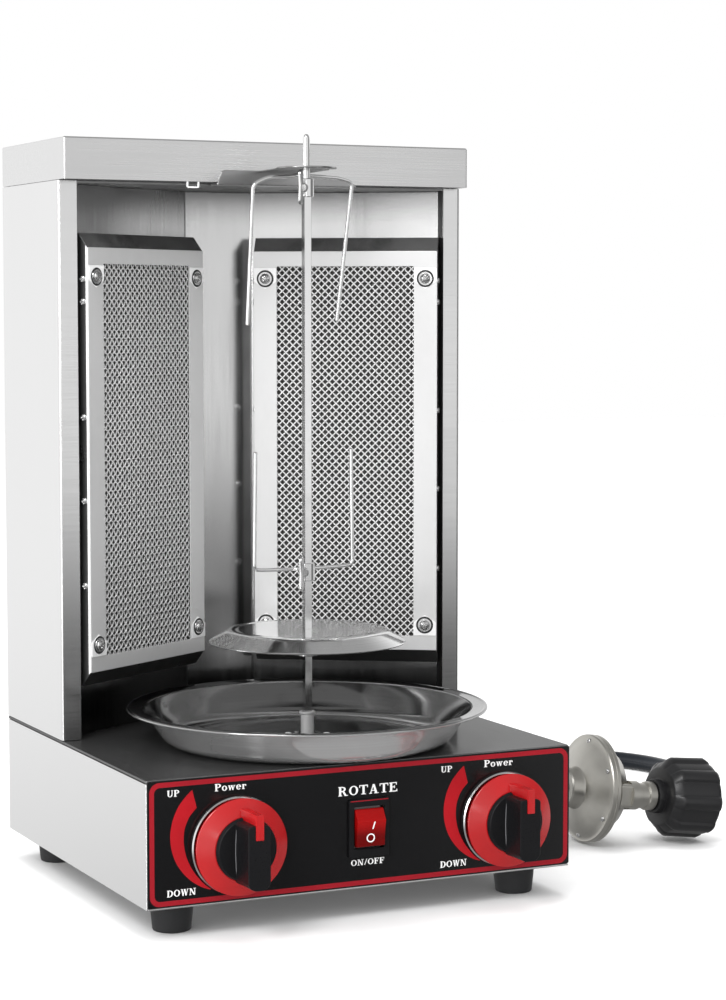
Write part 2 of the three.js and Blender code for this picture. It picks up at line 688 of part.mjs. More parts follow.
function makeRegulatorBody() {
  const bowl = turned([
    [0, -34], [14, -34], [14.5, -33], [14.5, -24], [30, -20.5], [36.5, -17], [39.5, -16], [39.5, -8],
    [36.5, -7], [27, 4], [20, 9], [0, 9],
  ], 40);
  const ports = box(-33, 22, -9, 9, -6, 9);
  const outlet = bar('x', 8.6, 18, 42, [0, 0], 8);
  const nipple = bar('z', 10.5, 6, 25.6, [-25, 0], 24);
  return bowl.add(ports).add(outlet).add(nipple);
}

function makeHandwheel() {
  const wheel = turned([
    [0, 26], [12.5, 26], [12.5, 32], [22, 34], [27, 39], [27.5, 71], [0, 71],
  ], 32);
  let grip = wheel;
  const lobes = 8;
  for (let i = 0; i < lobes; i += 1) {
    const turn = (360 * i) / lobes;
    grip = grip.add(box(22, 29.9, -4.6, 4.6, 40, 67).rotate([0, 0, turn]));
  }
  const bore = turned([[0, 48], [15, 48], [16, 75], [0, 75]], 24);
  return shifted(grip.subtract(bore), -25, 0, 0);
}

// ---------------------------------------------------------------- assembly
const base = new THREE.Group();
appliance.add(base);
put(base, 'base_shell', makeBaseShell(), BRUSHED);
put(base, 'base_top', makeBaseTop(), MIRROR);
put(base, 'base_bottom', makeBaseBottom(), GALVANISED);
put(base, 'control_fascia', makeFascia(), BLACK_PANEL);
for (const [end, y] of [['front', -111], ['rear', 111]]) {
  for (const side of ['left', 'right']) {
    put(base, `foot_${end}_${side}`, makeFoot(SIDES[side] * 123, y), RUBBER);
  }
}

const tower = new THREE.Group();
appliance.add(tower);
put(tower, 'tower_side_left', makeTowerSide(SIDES.left), BRUSHED);
put(tower, 'tower_side_right', makeTowerSide(SIDES.right), BRUSHED);
put(tower, 'tower_back', makeTowerBack(), BRUSHED);
put(tower, 'inner_liner', makeLiner(), POLISHED);
put(tower, 'ceiling_plate', makeCeiling(), GALVANISED);
put(tower, 'top_cap', makeCap(), BRUSHED);
put(tower, 'hook_bracket', makeHookBracket(), POLISHED);

for (const side of ['left', 'right']) {
  const burner = burnerGroup(SIDES[side]);
  appliance.add(burner);
  put(burner, `burner_frame_${side}`, makeBurnerFrame(), BRUSHED);
  put(burner, `burner_mesh_${side}`, makeBurnerMesh(), MESH);
  put(burner, `ceramic_tile_${side}`, makeCeramicTile(), CERAMIC);
  put(burner, `burner_pan_${side}`, makeBurnerPan(), GALVANISED);
  put(appliance, `mixing_tube_${side}`, makeMixingTube(side), GALVANISED);
}

const spit = new THREE.Group();
appliance.add(spit);
put(spit, 'drive_socket', makeDriveSocket(), WIRE);
put(spit, 'spit_rod', makeSpitRod(), WIRE);
put(spit, 'gear_motor', makeGearMotor(), GALVANISED);
put(spit, 'motor_bracket', makeMotorBracket(), GALVANISED);
put(spit, 'drip_tray', makeDripTray(), POLISHED);
put(spit, 'meat_plate', makeMeatPlate(), POLISHED);
put(spit, 'plate_screw', makeThumbScrew(PLATE_SCREW_Z, 7, 0, 0), WIRE);
put(spit, 'upper_fork', makeFork({
  hub0: 443.7, hub1: 456, archZ: 458.2, shoulders: [451.8, 454.4], prong: -92, lean: -8, pinch: 3.5,
}), WIRE);
put(spit, 'upper_fork_screw', makeThumbScrew(449.85, 5.2, SCREW_BEARING), WIRE);
put(spit, 'lower_fork', makeFork({
  hub0: 189, hub1: 201, archZ: 196.5, shoulders: [197, 197.8], prong: 78, lean: 0, pinch: 1,
}), WIRE);
put(spit, 'lower_fork_screw', makeThumbScrew(195, 5.2, SCREW_BEARING), WIRE);

const controls = new THREE.Group();
appliance.add(controls);
for (const side of ['left', 'right']) {
  const x = KNOB_X[side];
  put(controls, `knob_ring_${side}`, makeKnobRing(x), WIRE);
  put(controls, `knob_skirt_${side}`, makeKnobSkirt(x), RED_PLASTIC);
  put(controls, `knob_grip_${side}`, makeKnobGrip(x), BLACK_PLASTIC);
  put(controls, `valve_stem_${side}`, makeValveStem(x), BRASS);
  put(controls, `valve_plug_${side}`, makeValvePlug(x), BRASS);
  put(controls, `valve_body_${side}`, makeValveBody(x), BRASS);
}
put(controls, 'switch_housing', makeSwitchHousing(), BLACK_PLASTIC);
put(controls, 'switch_rocker', makeRocker(), RED_PLASTIC);

put(appliance, 'manifold_pipe', makeManifoldPipe(), GALVANISED);
put(appliance, 'gas_inlet', makeGasInlet(), BRASS);
put(appliance, 'cable_gland', makeCableGland(), BLACK_PLASTIC);

const broiler = new THREE.Group();
broiler.add(appliance);
put(broiler, 'gas_hose', makeHose(), HOSE_RUBBER);
put(broiler, 'flare_nut', makeFlareNut(), BRASS);
put(broiler, 'ferrule_inlet_end', makeFerrule(FERRULE_START_Y, INLET_X, INLET_Z + FOOT_HEIGHT), ZINC);
put(broiler, 'ferrule_regulator_end', makeFerrule(REGULATOR[1] + 42 + GAP, REGULATOR[0], REGULATOR[2]), ZINC);
const regulator = regulatorGroup();
broiler.add(regulator);
put(regulator, 'regulator_body', makeRegulatorBody(), ZINC);
put(regulator, 'regulator_handwheel', makeHandwheel(), BLACK_PLASTIC);

export default broiler;
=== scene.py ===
"""Looks of the vertical rotisserie broiler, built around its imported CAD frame.

Shapes are drawn in millimetres in the frame of the table (z = 0 under the feet, front towards -y)
and turned into metres when a piece is made.
"""

import math

import bmesh
import bpy
from mathutils import Matrix, Vector


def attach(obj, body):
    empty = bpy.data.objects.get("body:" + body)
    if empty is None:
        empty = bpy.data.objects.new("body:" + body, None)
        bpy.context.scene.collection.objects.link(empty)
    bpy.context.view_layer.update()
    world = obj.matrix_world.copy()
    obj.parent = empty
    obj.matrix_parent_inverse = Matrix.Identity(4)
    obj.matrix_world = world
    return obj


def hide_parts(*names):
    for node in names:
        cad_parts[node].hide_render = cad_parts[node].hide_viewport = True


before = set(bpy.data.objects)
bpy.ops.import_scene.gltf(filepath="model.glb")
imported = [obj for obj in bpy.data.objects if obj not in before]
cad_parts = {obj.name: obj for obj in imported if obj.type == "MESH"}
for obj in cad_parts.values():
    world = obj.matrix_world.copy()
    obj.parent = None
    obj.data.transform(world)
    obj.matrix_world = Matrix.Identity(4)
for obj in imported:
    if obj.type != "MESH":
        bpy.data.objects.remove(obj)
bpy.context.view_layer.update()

MM = 0.001
scene = bpy.context.scene
TAU = 2 * math.pi


# ---------------------------------------------------------------- camera
camera_data = bpy.data.cameras.new("camera")
camera_data.sensor_width = 36.0
camera_data.lens = 90.21
camera_data.clip_start = 0.05
camera = bpy.data.objects.new("camera", camera_data)
camera.location = (-0.6866, -1.5663, 0.3910)
camera.rotation_euler = (math.radians(90 - 4.391), 0.0, math.radians(-25.604))
scene.collection.objects.link(camera)
scene.camera = camera


# ---------------------------------------------------------------- node helpers
class Graph:
    """A node tree with short calls for the nodes that are used here."""

    def __init__(self, tree):
        self.tree = tree
        self.coordinates = self.add("TexCoord").outputs

    def put(self, socket, value):
        if isinstance(value, bpy.types.NodeSocket):
            self.tree.links.new(value, socket)
        elif value is not None:
            socket.default_value = value

    def add(self, kind, *inputs, **settings):
        """A new node with those settings, its first inputs linked to sockets or set to values."""
        node = self.tree.nodes.new("ShaderNode" + kind)
        for name, value in settings.items():
            setattr(node, name, value)
        for socket, value in zip(node.inputs, inputs):
            self.put(socket, value)
        return node

    def remap(self, value, low, high, to_low, to_high, curve="LINEAR"):
        return self.add("MapRange", value, low, high, to_low, to_high, interpolation_type=curve).outputs[0]

    def ramp(self, value, low, high, to_low=0.0, to_high=1.0):
        return self.remap(value, low, high, to_low, to_high, "SMOOTHSTEP")

    def math(self, operation, a, b=0.0):
        return self.add("Math", a, b, operation=operation).outputs[0]

    def mix(self, factor, a, b, data_type="RGBA", blend_type="MIX"):
        node = self.add("Mix", factor, data_type=data_type, blend_type=blend_type)
        self.put(node.inputs["A"], a)
        self.put(node.inputs["B"], b)
        return node.outputs["Result"]

    def split(self, vector):
        return self.add("SeparateXYZ", vector).outputs


class Shader(Graph):
    """A material; its textures lie in the object's own space, in metres."""

    def __init__(self, name):
        self.material = bpy.data.materials.new(name)
        self.material.use_nodes = True
        super().__init__(self.material.node_tree)
        self.surface = self.tree.nodes["Principled BSDF"]
        self.position = self.coordinates["Object"]
        self.normal = self.coordinates["Normal"]

    def noise(self, scale, detail=3.0, vector=None, roughness=0.5):
        return self.add("TexNoise", vector or self.position, None, scale, detail, roughness).outputs["Fac"]

    def spread(self, value, to_low=0.0, to_high=1.0, low=0.3):
        """Stretches the middle of a noise over a range."""
        return self.remap(value, low, 1 - low, to_low, to_high)

    def bump(self, height, strength, millimetres):
        node = self.add("Bump", strength, millimetres * MM)
        self.put(node.inputs["Height"], height)
        self.put(self.surface.inputs["Normal"], node.outputs["Normal"])

    def set(self, **values):
        for name, value in values.items():
            self.put(self.surface.inputs[name.replace("_", " ")], value)


def rgb(red, green, blue):
    return (red, green, blue, 1.0)


def grey(value):
    return rgb(value, value, value)


def dimmed(colour, part):
    return rgb(*[c * part for c in colour[:3]])


def brushed_metal(name, colour, roughness, grain, depth=0.02, mottle=0.06, metallic=1.0, edge=1.0):
    """Metal with fine brush lines; grain is the noise scale along x, y and z, in lines per metre."""
    s = Shader(name)
    stretched = s.add("Mapping", s.position)
    stretched.inputs["Scale"].default_value = grain
    lines = s.noise(1.0, 4.0, stretched.outputs[0], 0.65)
    clouds = s.noise(9.0)
    shade = s.mix(s.spread(clouds, low=0.35), dimmed(colour, 1 - mottle), colour)
    rough = s.math("ADD", s.spread(lines, -0.04, 0.05), s.spread(clouds, -0.02, 0.03))
    s.set(Base_Color=s.mix(s.spread(lines), dimmed(colour, 0.965), shade), Metallic=metallic,
          Roughness=s.math("ADD", rough, roughness), Specular_Tint=grey(edge))
    s.bump(lines, 0.12, depth)
    return s.material


def spun_metal(name, colour, roughness, centre, rings, below):
    """Polished metal with faint rings round a vertical axis at centre, in metres; below is the colour of the
    faces that look sideways or down, so light and shade are painted by the way a face looks."""
    s = Shader(name)
    px, py, pz = s.split(s.position)
    dx, dy = s.math("SUBTRACT", px, centre[0]), s.math("SUBTRACT", py, centre[1])
    radius = s.math("SQRT", s.math("ADD", s.math("MULTIPLY", dx, dx), s.math("MULTIPLY", dy, dy)))
    ring = s.add("CombineXYZ", s.math("MULTIPLY", radius, rings), None, s.math("MULTIPLY", pz, rings * 0.5))
    lines = s.noise(1.0, 3.0, ring.outputs[0], 0.6)
    upward = s.split(s.normal)[2]
    shade = s.mix(s.remap(upward, -0.2, 0.6, 0, 1), below, colour)
    s.set(
        Base_Color=s.mix(s.spread(lines, 0, 0.14), shade, grey(0.02)),
        Metallic=s.remap(upward, -0.2, 0.6, 0.72, 1.0),
        Roughness=s.math("ADD", s.spread(s.noise(26.0), -0.03, 0.07), roughness),
    )
    s.bump(lines, 0.08, 0.02)
    return s.material


def cast_metal(name, colour, roughness, pits=900.0):
    """Metal with a fine pitted skin and cloudy shade changes."""
    s = Shader(name)
    clouds = s.noise(40.0)
    s.set(Base_Color=s.mix(s.spread(clouds), dimmed(colour, 0.78), colour), Metallic=1.0,
          Roughness=s.math("ADD", s.spread(clouds, -0.06, 0.08), roughness))
    s.bump(s.noise(pits, 4.0), 0.25, 0.06)
    return s.material


def moulded(name, colour, roughness, grain, strength, coat=0.0, tint=0.85, gloss=0.5):
    """Plastic, rubber or paint with a fine surface grain and slight shade changes."""
    s = Shader(name)
    fine = s.noise(grain)
    s.set(Base_Color=s.mix(s.spread(s.noise(30.0)), dimmed(colour, tint), colour),
          Roughness=s.math("ADD", s.spread(fine, -0.04, 0.05), roughness),
          Coat_Weight=coat, Coat_Roughness=0.08, Specular_IOR_Level=gloss)
    s.bump(fine, strength, 0.04)
    return s.material


def ceramic_plate(name, pitch, lean):
    """Dark fired clay with rows of small round holes; its face leans by that angle from the x axis."""
    s = Shader(name)
    px, _, pz = s.split(s.position)
    across = s.math("COSINE", s.math("MULTIPLY", px, TAU / (pitch * MM * math.cos(lean))))
    up = s.math("COSINE", s.math("MULTIPLY", pz, TAU / (pitch * MM)))
    holes = s.remap(s.math("ADD", across, up), 0.35, 0.95, 0.0, 1.0)
    grain = s.noise(700.0, 4.0)
    base = s.mix(s.spread(grain), rgb(0.055, 0.054, 0.052), rgb(0.1, 0.098, 0.095))
    # Painted shade: the holes are not cut, only darker than the clay, with a bump.
    s.set(Base_Color=s.mix(holes, base, rgb(0.03, 0.029, 0.028)), Roughness=0.9)
    s.bump(s.math("SUBTRACT", grain, holes), 0.5, 0.3)
    return s.material


def shaded(material, full, dim, darkest, forwards=False):
    """Paints shade into a material: fades it from its full colour at one height to a part of it at another,
    in metres; forwards keeps that to the faces that look to the front."""
    g = Graph(material.node_tree)
    colour = g.tree.nodes["Principled BSDF"].inputs["Base Color"]
    before = colour.links[0].from_socket
    facing = g.ramp(g.split(g.coordinates["Normal"])[1], -0.9, -0.6, 1.0, 0.0) if forwards else 1.0
    fade = g.ramp(g.split(g.coordinates["Object"])[2], dim, full, darkest, 1.0)
    g.put(colour, g.mix(facing, before, fade, blend_type="MULTIPLY"))
    return material


SPIT_X, SPIT_Y = 0.0, -47.0
SPIT = (SPIT_X * MM, SPIT_Y * MM)
BURNER_ANGLE = math.radians(32.7)
# Painted shade: the tower's front-facing flanges darken towards the foot.
SIDE_STEEL = shaded(brushed_metal("brushed_side_steel", grey(0.85), 0.2, (16, 16, 1500), 0.004, 0.03),
                    0.29, 0.1, 0.34, forwards=True)
FRONT_STEEL = brushed_metal("brushed_front_steel", grey(0.8), 0.28, (16, 1500, 1500), 0.0015, 0.02)
TOP_STEEL = brushed_metal("polished_base_top", grey(0.23), 0.16, (700, 24, 700), 0.006, 0.1, 0.78, 0.35)
LINER_STEEL = brushed_metal("polished_liner", grey(0.78), 0.21, (500, 500, 14), 0.002, 0.03)
# Painted shade: the liner darkens towards its foot and just under the cap.
LINER_STEEL = shaded(shaded(LINER_STEEL, 0.34, 0.12, 0.2), 0.446, 0.478, 0.5)
# Painted shade: dark steel for the burners' lower slopes and cheeks and the tower lips.
PAINTED_SHADE_STEEL = brushed_metal("shaded_steel", grey(0.13), 0.32, (60, 60, 60), 0.02, 0.3, 0.9)
SLOPE_STEEL = brushed_metal("burner_slope_steel", grey(0.4), 0.2, (60, 60, 60), 0.01, 0.6, 0.85)
FRAME_STEEL = brushed_metal("burner_frame_steel", grey(0.7), 0.34, (120, 120, 60), 0.004, 0.08, 0.42)
DULL_STEEL = cast_metal("galvanised_steel", grey(0.5), 0.42, 300.0)
HOOK_STEEL = brushed_metal("hook_steel", grey(0.38), 0.2, (700, 40, 700), 0.01)
# Painted light and shade: the tray is darker on the faces that look up and lighter on its sides and
# underside; the plate is darker on the faces that look down.
TRAY_STEEL = spun_metal("spun_tray_steel", grey(0.25), 0.12, SPIT, 900.0, grey(0.62))
PLATE_STEEL = spun_metal("spun_plate_steel", grey(0.95), 0.1, SPIT, 1400.0, grey(0.3))
BRIGHT_WIRE = brushed_metal("bright_wire", grey(0.9), 0.12, (60, 60, 60), 0.01)
GAUZE_WIRE = brushed_metal("gauze_wire", grey(0.93), 0.26, (200, 200, 200), 0.01, 0.02, 0.6)
# Pale steel of the corner tabs; on the burner lips it is a painted highlight along the frames' rounded side
# edges.
TAB_AND_EDGE_HIGHLIGHT_STEEL = brushed_metal("corner_tab_and_edge_highlight_steel", grey(0.92), 0.42, (90, 90, 90), 0.004, 0.02, 0.12)
SCREW_STEEL = brushed_metal("screw_steel", grey(0.7), 0.2, (200, 200, 200), 0.01)
CHROME = brushed_metal("knob_ring_chrome", grey(0.86), 0.09, (90, 90, 90), 0.004, 0.02)
BRASS = cast_metal("brass", rgb(0.66, 0.56, 0.27), 0.3)
NUT_BRASS = cast_metal("pale_brass", rgb(0.72, 0.66, 0.38), 0.27)
ZINC = cast_metal("zinc_casting", rgb(0.6, 0.585, 0.54), 0.34)
CERAMIC = ceramic_plate("burner_ceramic", 1.9, BURNER_ANGLE)
PANEL_BLACK = moulded("panel_black", rgb(0.0062, 0.0062, 0.0068), 0.16, 1800.0, 0.04)
# Red print of the panel border; on the switch bezel's top edge it is a painted reflection of that border.
PRINT_AND_REFLECTION_RED = moulded("print_and_painted_reflection_red", rgb(0.3, 0.008, 0.016), 0.3, 1600.0, 0.05, gloss=0.15)
MARK_RED = moulded("mark_red", rgb(0.4, 0.006, 0.012), 0.3, 1600.0, 0.05, gloss=0.15)
PRINT_WHITE = moulded("print_white", grey(0.86), 0.4, 1600.0, 0.05, 0.2, 0.95)
KNOB_RED = moulded("knob_red", rgb(0.4, 0.006, 0.008), 0.2, 1500.0, 0.03, gloss=0.65)
# Painted shade: the rocker darkens towards its lower end.
ROCKER_RED = shaded(moulded("rocker_red", rgb(0.3, 0.003, 0.003), 0.2, 1500.0, 0.03, gloss=0.15),
                    0.063, 0.053, 0.42)
KNOB_BLACK = moulded("knob_black", rgb(0.009, 0.009, 0.01), 0.3, 1500.0, 0.04, gloss=0.12)
# Painted highlight: pale grey for the lines along the knob bars' edges.
KNOB_EDGE_HIGHLIGHT = moulded("painted_knob_edge_highlight", rgb(0.16, 0.16, 0.17), 0.3, 1500.0, 0.04)
PLASTIC_BLACK = moulded("plastic_black", rgb(0.011, 0.011, 0.012), 0.36, 1100.0, 0.25)
FOOT_RUBBER = moulded("foot_rubber", rgb(0.02, 0.0205, 0.022), 0.62, 900.0, 0.4)
HOSE_RUBBER = moulded("hose_rubber", rgb(0.006, 0.0095, 0.016), 0.3, 1300.0, 0.12, 0.25)


# ---------------------------------------------------------------- shape helpers
# A shape is (vertices, faces) in millimetres.
def join(*shapes):
    verts, faces = [], []
    for v, f in shapes:
        start = len(verts)
        verts += v
        faces += [[start + i for i in face] for face in f]
    return verts, faces


def moved(shape, matrix):
    verts, faces = shape
    out = [matrix @ Vector(v) for v in verts]
    if matrix.determinant() < 0:
        faces = [face[::-1] for face in faces]
    return out, faces


def shift(shape, x=0.0, y=0.0, z=0.0):
    return moved(shape, Matrix.Translation((x, y, z)))


def block(x0, x1, y0, y1, z0, z1):
    verts = [Vector((x, y, z)) for z in (z0, z1) for y in (y0, y1) for x in (x0, x1)]
    faces = [[0, 2, 3, 1], [4, 5, 7, 6], [0, 1, 5, 4], [2, 6, 7, 3], [0, 4, 6, 2], [1, 3, 7, 5]]
    return verts, faces


def skin(rings, closed=False, capped=False):
    """Faces between neighbouring rings, low to high, each drawn anticlockwise; one point is a tip."""
    verts, rows = [], []
    for ring in rings:
        rows.append(range(len(verts), len(verts) + len(ring)))
        verts += [Vector(point) for point in ring]
    n = max(len(row) for row in rows)
    faces = [list(rows[0])[::-1], list(rows[-1])] if capped else []
    for low, high in zip(rows, rows[1:] + rows[:1] if closed else rows[1:]):
        for i in range(n):
            j = (i + 1) % n
            if len(low) == 1:
                faces.append([low[0], high[j], high[i]])
            elif len(high) == 1:
                faces.append([low[i], low[j], high[0]])
            else:
                faces.append([low[i], low[j], high[j], high[i]])
    return verts, faces


def ring_of(radius, height, segments):
    """A level ring of points; radius is a number or a function of the angle."""
    if radius == 0:
        return [(0, 0, height)]
    turns = [TAU * i / segments for i in range(segments)]
    radii = [radius(turn) if callable(radius) else radius for turn in turns]
    return [(r * math.cos(turn), r * math.sin(turn), height) for r, turn in zip(radii, turns)]


def lathe(profile, segments=96, closed=False):
    """Turns [radius, height] pairs about z. An open profile starts and ends on the axis."""
    return skin([ring_of(radius, height, segments) for radius, height in profile], closed)


def prism(outline, z0, z1):
    """A closed plan outline, drawn anticlockwise, raised from z0 to z1."""
    return skin([[(x, y, z) for x, y in outline] for z in (z0, z1)], capped=True)


def curve_shape(curve):
    """The closed mesh of a flat or text curve, with its faces welded."""
    obj = bpy.data.objects.new("outline", curve)
    scene.collection.objects.link(obj)
    graph = bpy.context.evaluated_depsgraph_get()
    mesh = bpy.data.meshes.new_from_object(obj.evaluated_get(graph))
    bm = bmesh.new()
    bm.from_mesh(mesh)
    bmesh.ops.remove_doubles(bm, verts=bm.verts, dist=1e-4)
    bmesh.ops.dissolve_degenerate(bm, edges=bm.edges, dist=1e-5)
    bm.verts.index_update()
    verts = [v.co.copy() for v in bm.verts]
    faces = [[v.index for v in f.verts] for f in bm.faces]
    bm.free()
    bpy.data.objects.remove(obj)
    bpy.data.curves.remove(curve)
    bpy.data.meshes.remove(mesh)
    return verts, faces


def plate(loops, z0, z1, edge=0.0, smooth=1):
    """A flat plate from z0 to z1 whose first loop is its outline and whose other loops are holes."""
    curve = bpy.data.curves.new("outline", "CURVE")
    curve.dimensions = "2D"
    curve.fill_mode = "BOTH"
    curve.extrude = (z1 - z0) / 2 - edge
    curve.bevel_depth = edge
    curve.offset = -edge
    curve.bevel_resolution = smooth
    for loop in loops:
        spline = curve.splines.new("POLY")
        spline.points.add(len(loop) - 1)
        for point, (x, y) in zip(spline.points, loop):
            point.co = (x, y, 0, 1)
        spline.use_cyclic_u = True
    return shift(curve_shape(curve), z=(z0 + z1) / 2)


def arc(centre, radius, start, end, steps):
    return [
        (centre[0] + radius * math.cos(start + (end - start) * i / steps),
         centre[1] + radius * math.sin(start + (end - start) * i / steps))
        for i in range(steps + 1)
    ]


def slab(x0, x1, y0, y1):
    return [(x0, y0), (x1, y0), (x1, y1), (x0, y1)]


def leaning(foot, top, width, y0=0.0, y1=1.0):
    """A slanting stroke of a letter, from its foot to its top."""
    return [(foot, y0), (foot + width, y0), (top + width, y1), (top, y1)]


def bow(cx, cy, rx, ry, thick, start, end):
    """A curved stroke of a letter, thick at its side and thin at its top and bottom; angles in degrees."""
    turns = [math.radians(start + (end - start) * i / 14) for i in range(15)]
    outer = [(cx + rx * math.cos(t), cy + ry * math.sin(t)) for t in turns]
    inner = [(cx + (rx - thick) * math.cos(t), cy + (ry - THIN) * math.sin(t)) for t in reversed(turns)]
    return outer + inner


# Slab-serif capitals and small letters: (width, strokes) in parts of the height of a capital.
THIN, FOOT, SMALL = 0.09, 0.075, 0.66


def stem(x, y0=0.0, y1=1.0, wide=0.2):
    return slab(x, x + wide, y0, y1)


def foot(x0, x1):
    return slab(x0, x1, 0, FOOT)


def head(x0, x1):
    return slab(x0, x1, 1 - FOOT, 1)


def beak(x, y0=0.72, y1=1.0):
    return slab(x, x + 0.07, y0, y1)


def bar(x0, x1, y):
    return slab(x0, x1, y, y + THIN)


LETTERS = {
    "R": (0.92, [stem(0.08), foot(0, 0.36), head(0, 0.34), bar(0.28, 0.35, 0.46),
                 bow(0.34, 0.73, 0.36, 0.27, 0.17, -90, 90), leaning(0.62, 0.36, 0.2, 0, 0.5),
                 foot(0.6, 0.92)]),
    "O": (0.86, [bow(0.43, 0.5, 0.43, 0.5, 0.19, start, start + 180) for start in (-90, 90)]),
    "T": (0.82, [stem(0.31), foot(0.19, 0.63), bar(0, 0.82, 1 - THIN), beak(0), beak(0.75)]),
    "A": (0.92, [leaning(0.1, 0.38, 0.09), leaning(0.6, 0.34, 0.2), bar(0.2, 0.7, 0.28), foot(0, 0.3),
                 foot(0.5, 0.92)]),
    "E": (0.76, [stem(0.08), bar(0, 0.72, 1 - THIN), bar(0, 0.76, 0), bar(0.28, 0.5, 0.46), beak(0.65),
                 beak(0.69, 0, 0.28), beak(0.46, 0.35, 0.66)]),
    "F": (0.7, [stem(0.08), foot(0, 0.4), bar(0, 0.7, 1 - THIN), bar(0.28, 0.5, 0.46), beak(0.63),
                beak(0.46, 0.35, 0.66)]),
    "N": (0.92, [stem(0.1, wide=THIN), stem(0.71, wide=THIN), leaning(0.6, 0.08, 0.2), foot(0, 0.3),
                 head(0, 0.26), head(0.58, 0.92)]),
    "U": (0.84, [stem(0.08, 0.3), head(0, 0.38), stem(0.65, 0.3, wide=THIN), head(0.55, 0.84),
                 bow(0.41, 0.33, 0.33, 0.33, 0.14, 180, 360)]),
    "P": (0.72, [stem(0.08), foot(0, 0.4), head(0, 0.34), bar(0.28, 0.35, 0.44),
                 bow(0.34, 0.72, 0.38, 0.28, 0.18, -90, 90)]),
    "D": (0.82, [stem(0.08), bar(0, 0.36, 0), bar(0, 0.36, 1 - THIN),
                 bow(0.34, 0.5, 0.48, 0.5, 0.2, -90, 90)]),
    "W": (1.06, [leaning(0.24, 0.06, 0.16), leaning(0.26, 0.48, 0.09), leaning(0.64, 0.46, 0.16),
                 leaning(0.66, 0.9, 0.09), head(0, 0.3), head(0.4, 0.68), head(0.82, 1.06)]),
    "/": (0.42, [leaning(0, 0.32, 0.1)]),
    "o": (0.6, [bow(0.3, 0.33, 0.3, 0.35, 0.16, start, start + 180) for start in (-90, 90)]),
    "w": (0.84, [leaning(0.18, 0.04, 0.14, 0, SMALL), leaning(0.2, 0.37, 0.08, 0, SMALL),
                 leaning(0.5, 0.36, 0.14, 0, SMALL), leaning(0.52, 0.7, 0.08, 0, SMALL),
                 slab(0, 0.25, 0.59, SMALL), slab(0.31, 0.54, 0.59, SMALL), slab(0.64, 0.84, 0.59, SMALL)]),
    "e": (0.56, [bow(0.29, 0.33, 0.29, 0.35, 0.16, 0, 180), bow(0.29, 0.33, 0.29, 0.35, 0.16, 180, 318),
                 slab(0.13, 0.57, 0.3, 0.38)]),
    "r": (0.5, [stem(0.07, 0, SMALL, 0.17), foot(0, 0.34), slab(0, 0.2, 0.59, SMALL),
                bow(0.36, 0.46, 0.14, 0.21, 0.08, 20, 160), slab(0.37, 0.5, 0.42, 0.58)]),
}


def lettering(text, x0, x1, z0, z1, proud=0.12):
    """A raised word fitted to a box on the panel; every stroke stands a little prouder than the last."""
    gap = 0.11
    total = sum(LETTERS[letter][0] for letter in text) + gap * (len(text) - 1)
    across, up = (x1 - x0) / total, z1 - z0
    strokes, at = [], 0.0
    for letter in text:
        width, outlines = LETTERS[letter]
        for layer, outline in enumerate(outlines):
            points = [(x0 + (at + px) * across, z0 + py * up) for px, py in outline]
            strokes.append(prism(points, 0, proud + 0.006 * layer))
        at += width + gap
    return join(*strokes)


def circle(radius, steps=48, centre=(0, 0)):
    return arc(centre, radius, 0, TAU, steps)[:-1]


def rounded_rectangle(x0, x1, y0, y1, radius, steps=6):
    points = []
    corners = ((x1, y1, 0), (x0, y1, 1), (x0, y0, 2), (x1, y0, 3))
    for x, y, quarter in corners:
        cx = x - radius if x == x1 else x + radius
        cy = y - radius if y == y1 else y + radius
        start = quarter * math.pi / 2
        points += arc((cx, cy), radius, start, start + math.pi / 2, steps)
    return points


def rounded(points, radius, steps=5, closed=True):
    """The same outline with every corner rounded by up to radius."""
    pts = [Vector(p) for p in points]
    n = len(pts)
    out = []
    for i in range(n):
        here = pts[i]
        if not closed and i in (0, n - 1):
            out.append(here)
            continue
        back, ahead = pts[i - 1] - here, pts[(i + 1) % n] - here
        reach = min(radius, back.length * 0.45, ahead.length * 0.45)
        start, end = here + back.normalized() * reach, here + ahead.normalized() * reach
        for k in range(steps + 1):
            t = k / steps
            out.append(start * (1 - t) ** 2 + here * 2 * t * (1 - t) + end * t ** 2)
    return out


def ribbon(path, thickness):
    """The closed outline of a sheet of that thickness whose middle follows a plan path."""
    left, right = [], []
    for i, point in enumerate(path):
        before = path[max(i - 1, 0)]
        after = path[min(i + 1, len(path) - 1)]
        along = (Vector(after) - Vector(before)).normalized()
        side = Vector((-along.y, along.x)) * thickness / 2
        left.append(Vector(point) + side)
        right.append(Vector(point) - side)
    return right + left[::-1]


def smooth_path(points, per_segment=8):
    """Centripetal Catmull-Rom curve through the points."""
    pts = [Vector(p) for p in points]
    pts = [pts[0] * 2 - pts[1]] + pts + [pts[-1] * 2 - pts[-2]]
    out = []
    for i in range(1, len(pts) - 2):
        p0, p1, p2, p3 = pts[i - 1:i + 3]
        t0 = 0.0
        t1 = t0 + math.sqrt((p1 - p0).length)
        t2 = t1 + math.sqrt((p2 - p1).length)
        t3 = t2 + math.sqrt((p3 - p2).length)
        for k in range(per_segment):
            t = t1 + (t2 - t1) * k / per_segment

            def blended(a, b, ta, tb):
                return a * ((tb - t) / (tb - ta)) + b * ((t - ta) / (tb - ta))

            a1, a2, a3 = blended(p0, p1, t0, t1), blended(p1, p2, t1, t2), blended(p2, p3, t2, t3)
            out.append(blended(blended(a1, a2, t0, t2), blended(a2, a3, t1, t3), t1, t2))
    out.append(pts[-2].copy())
    return out


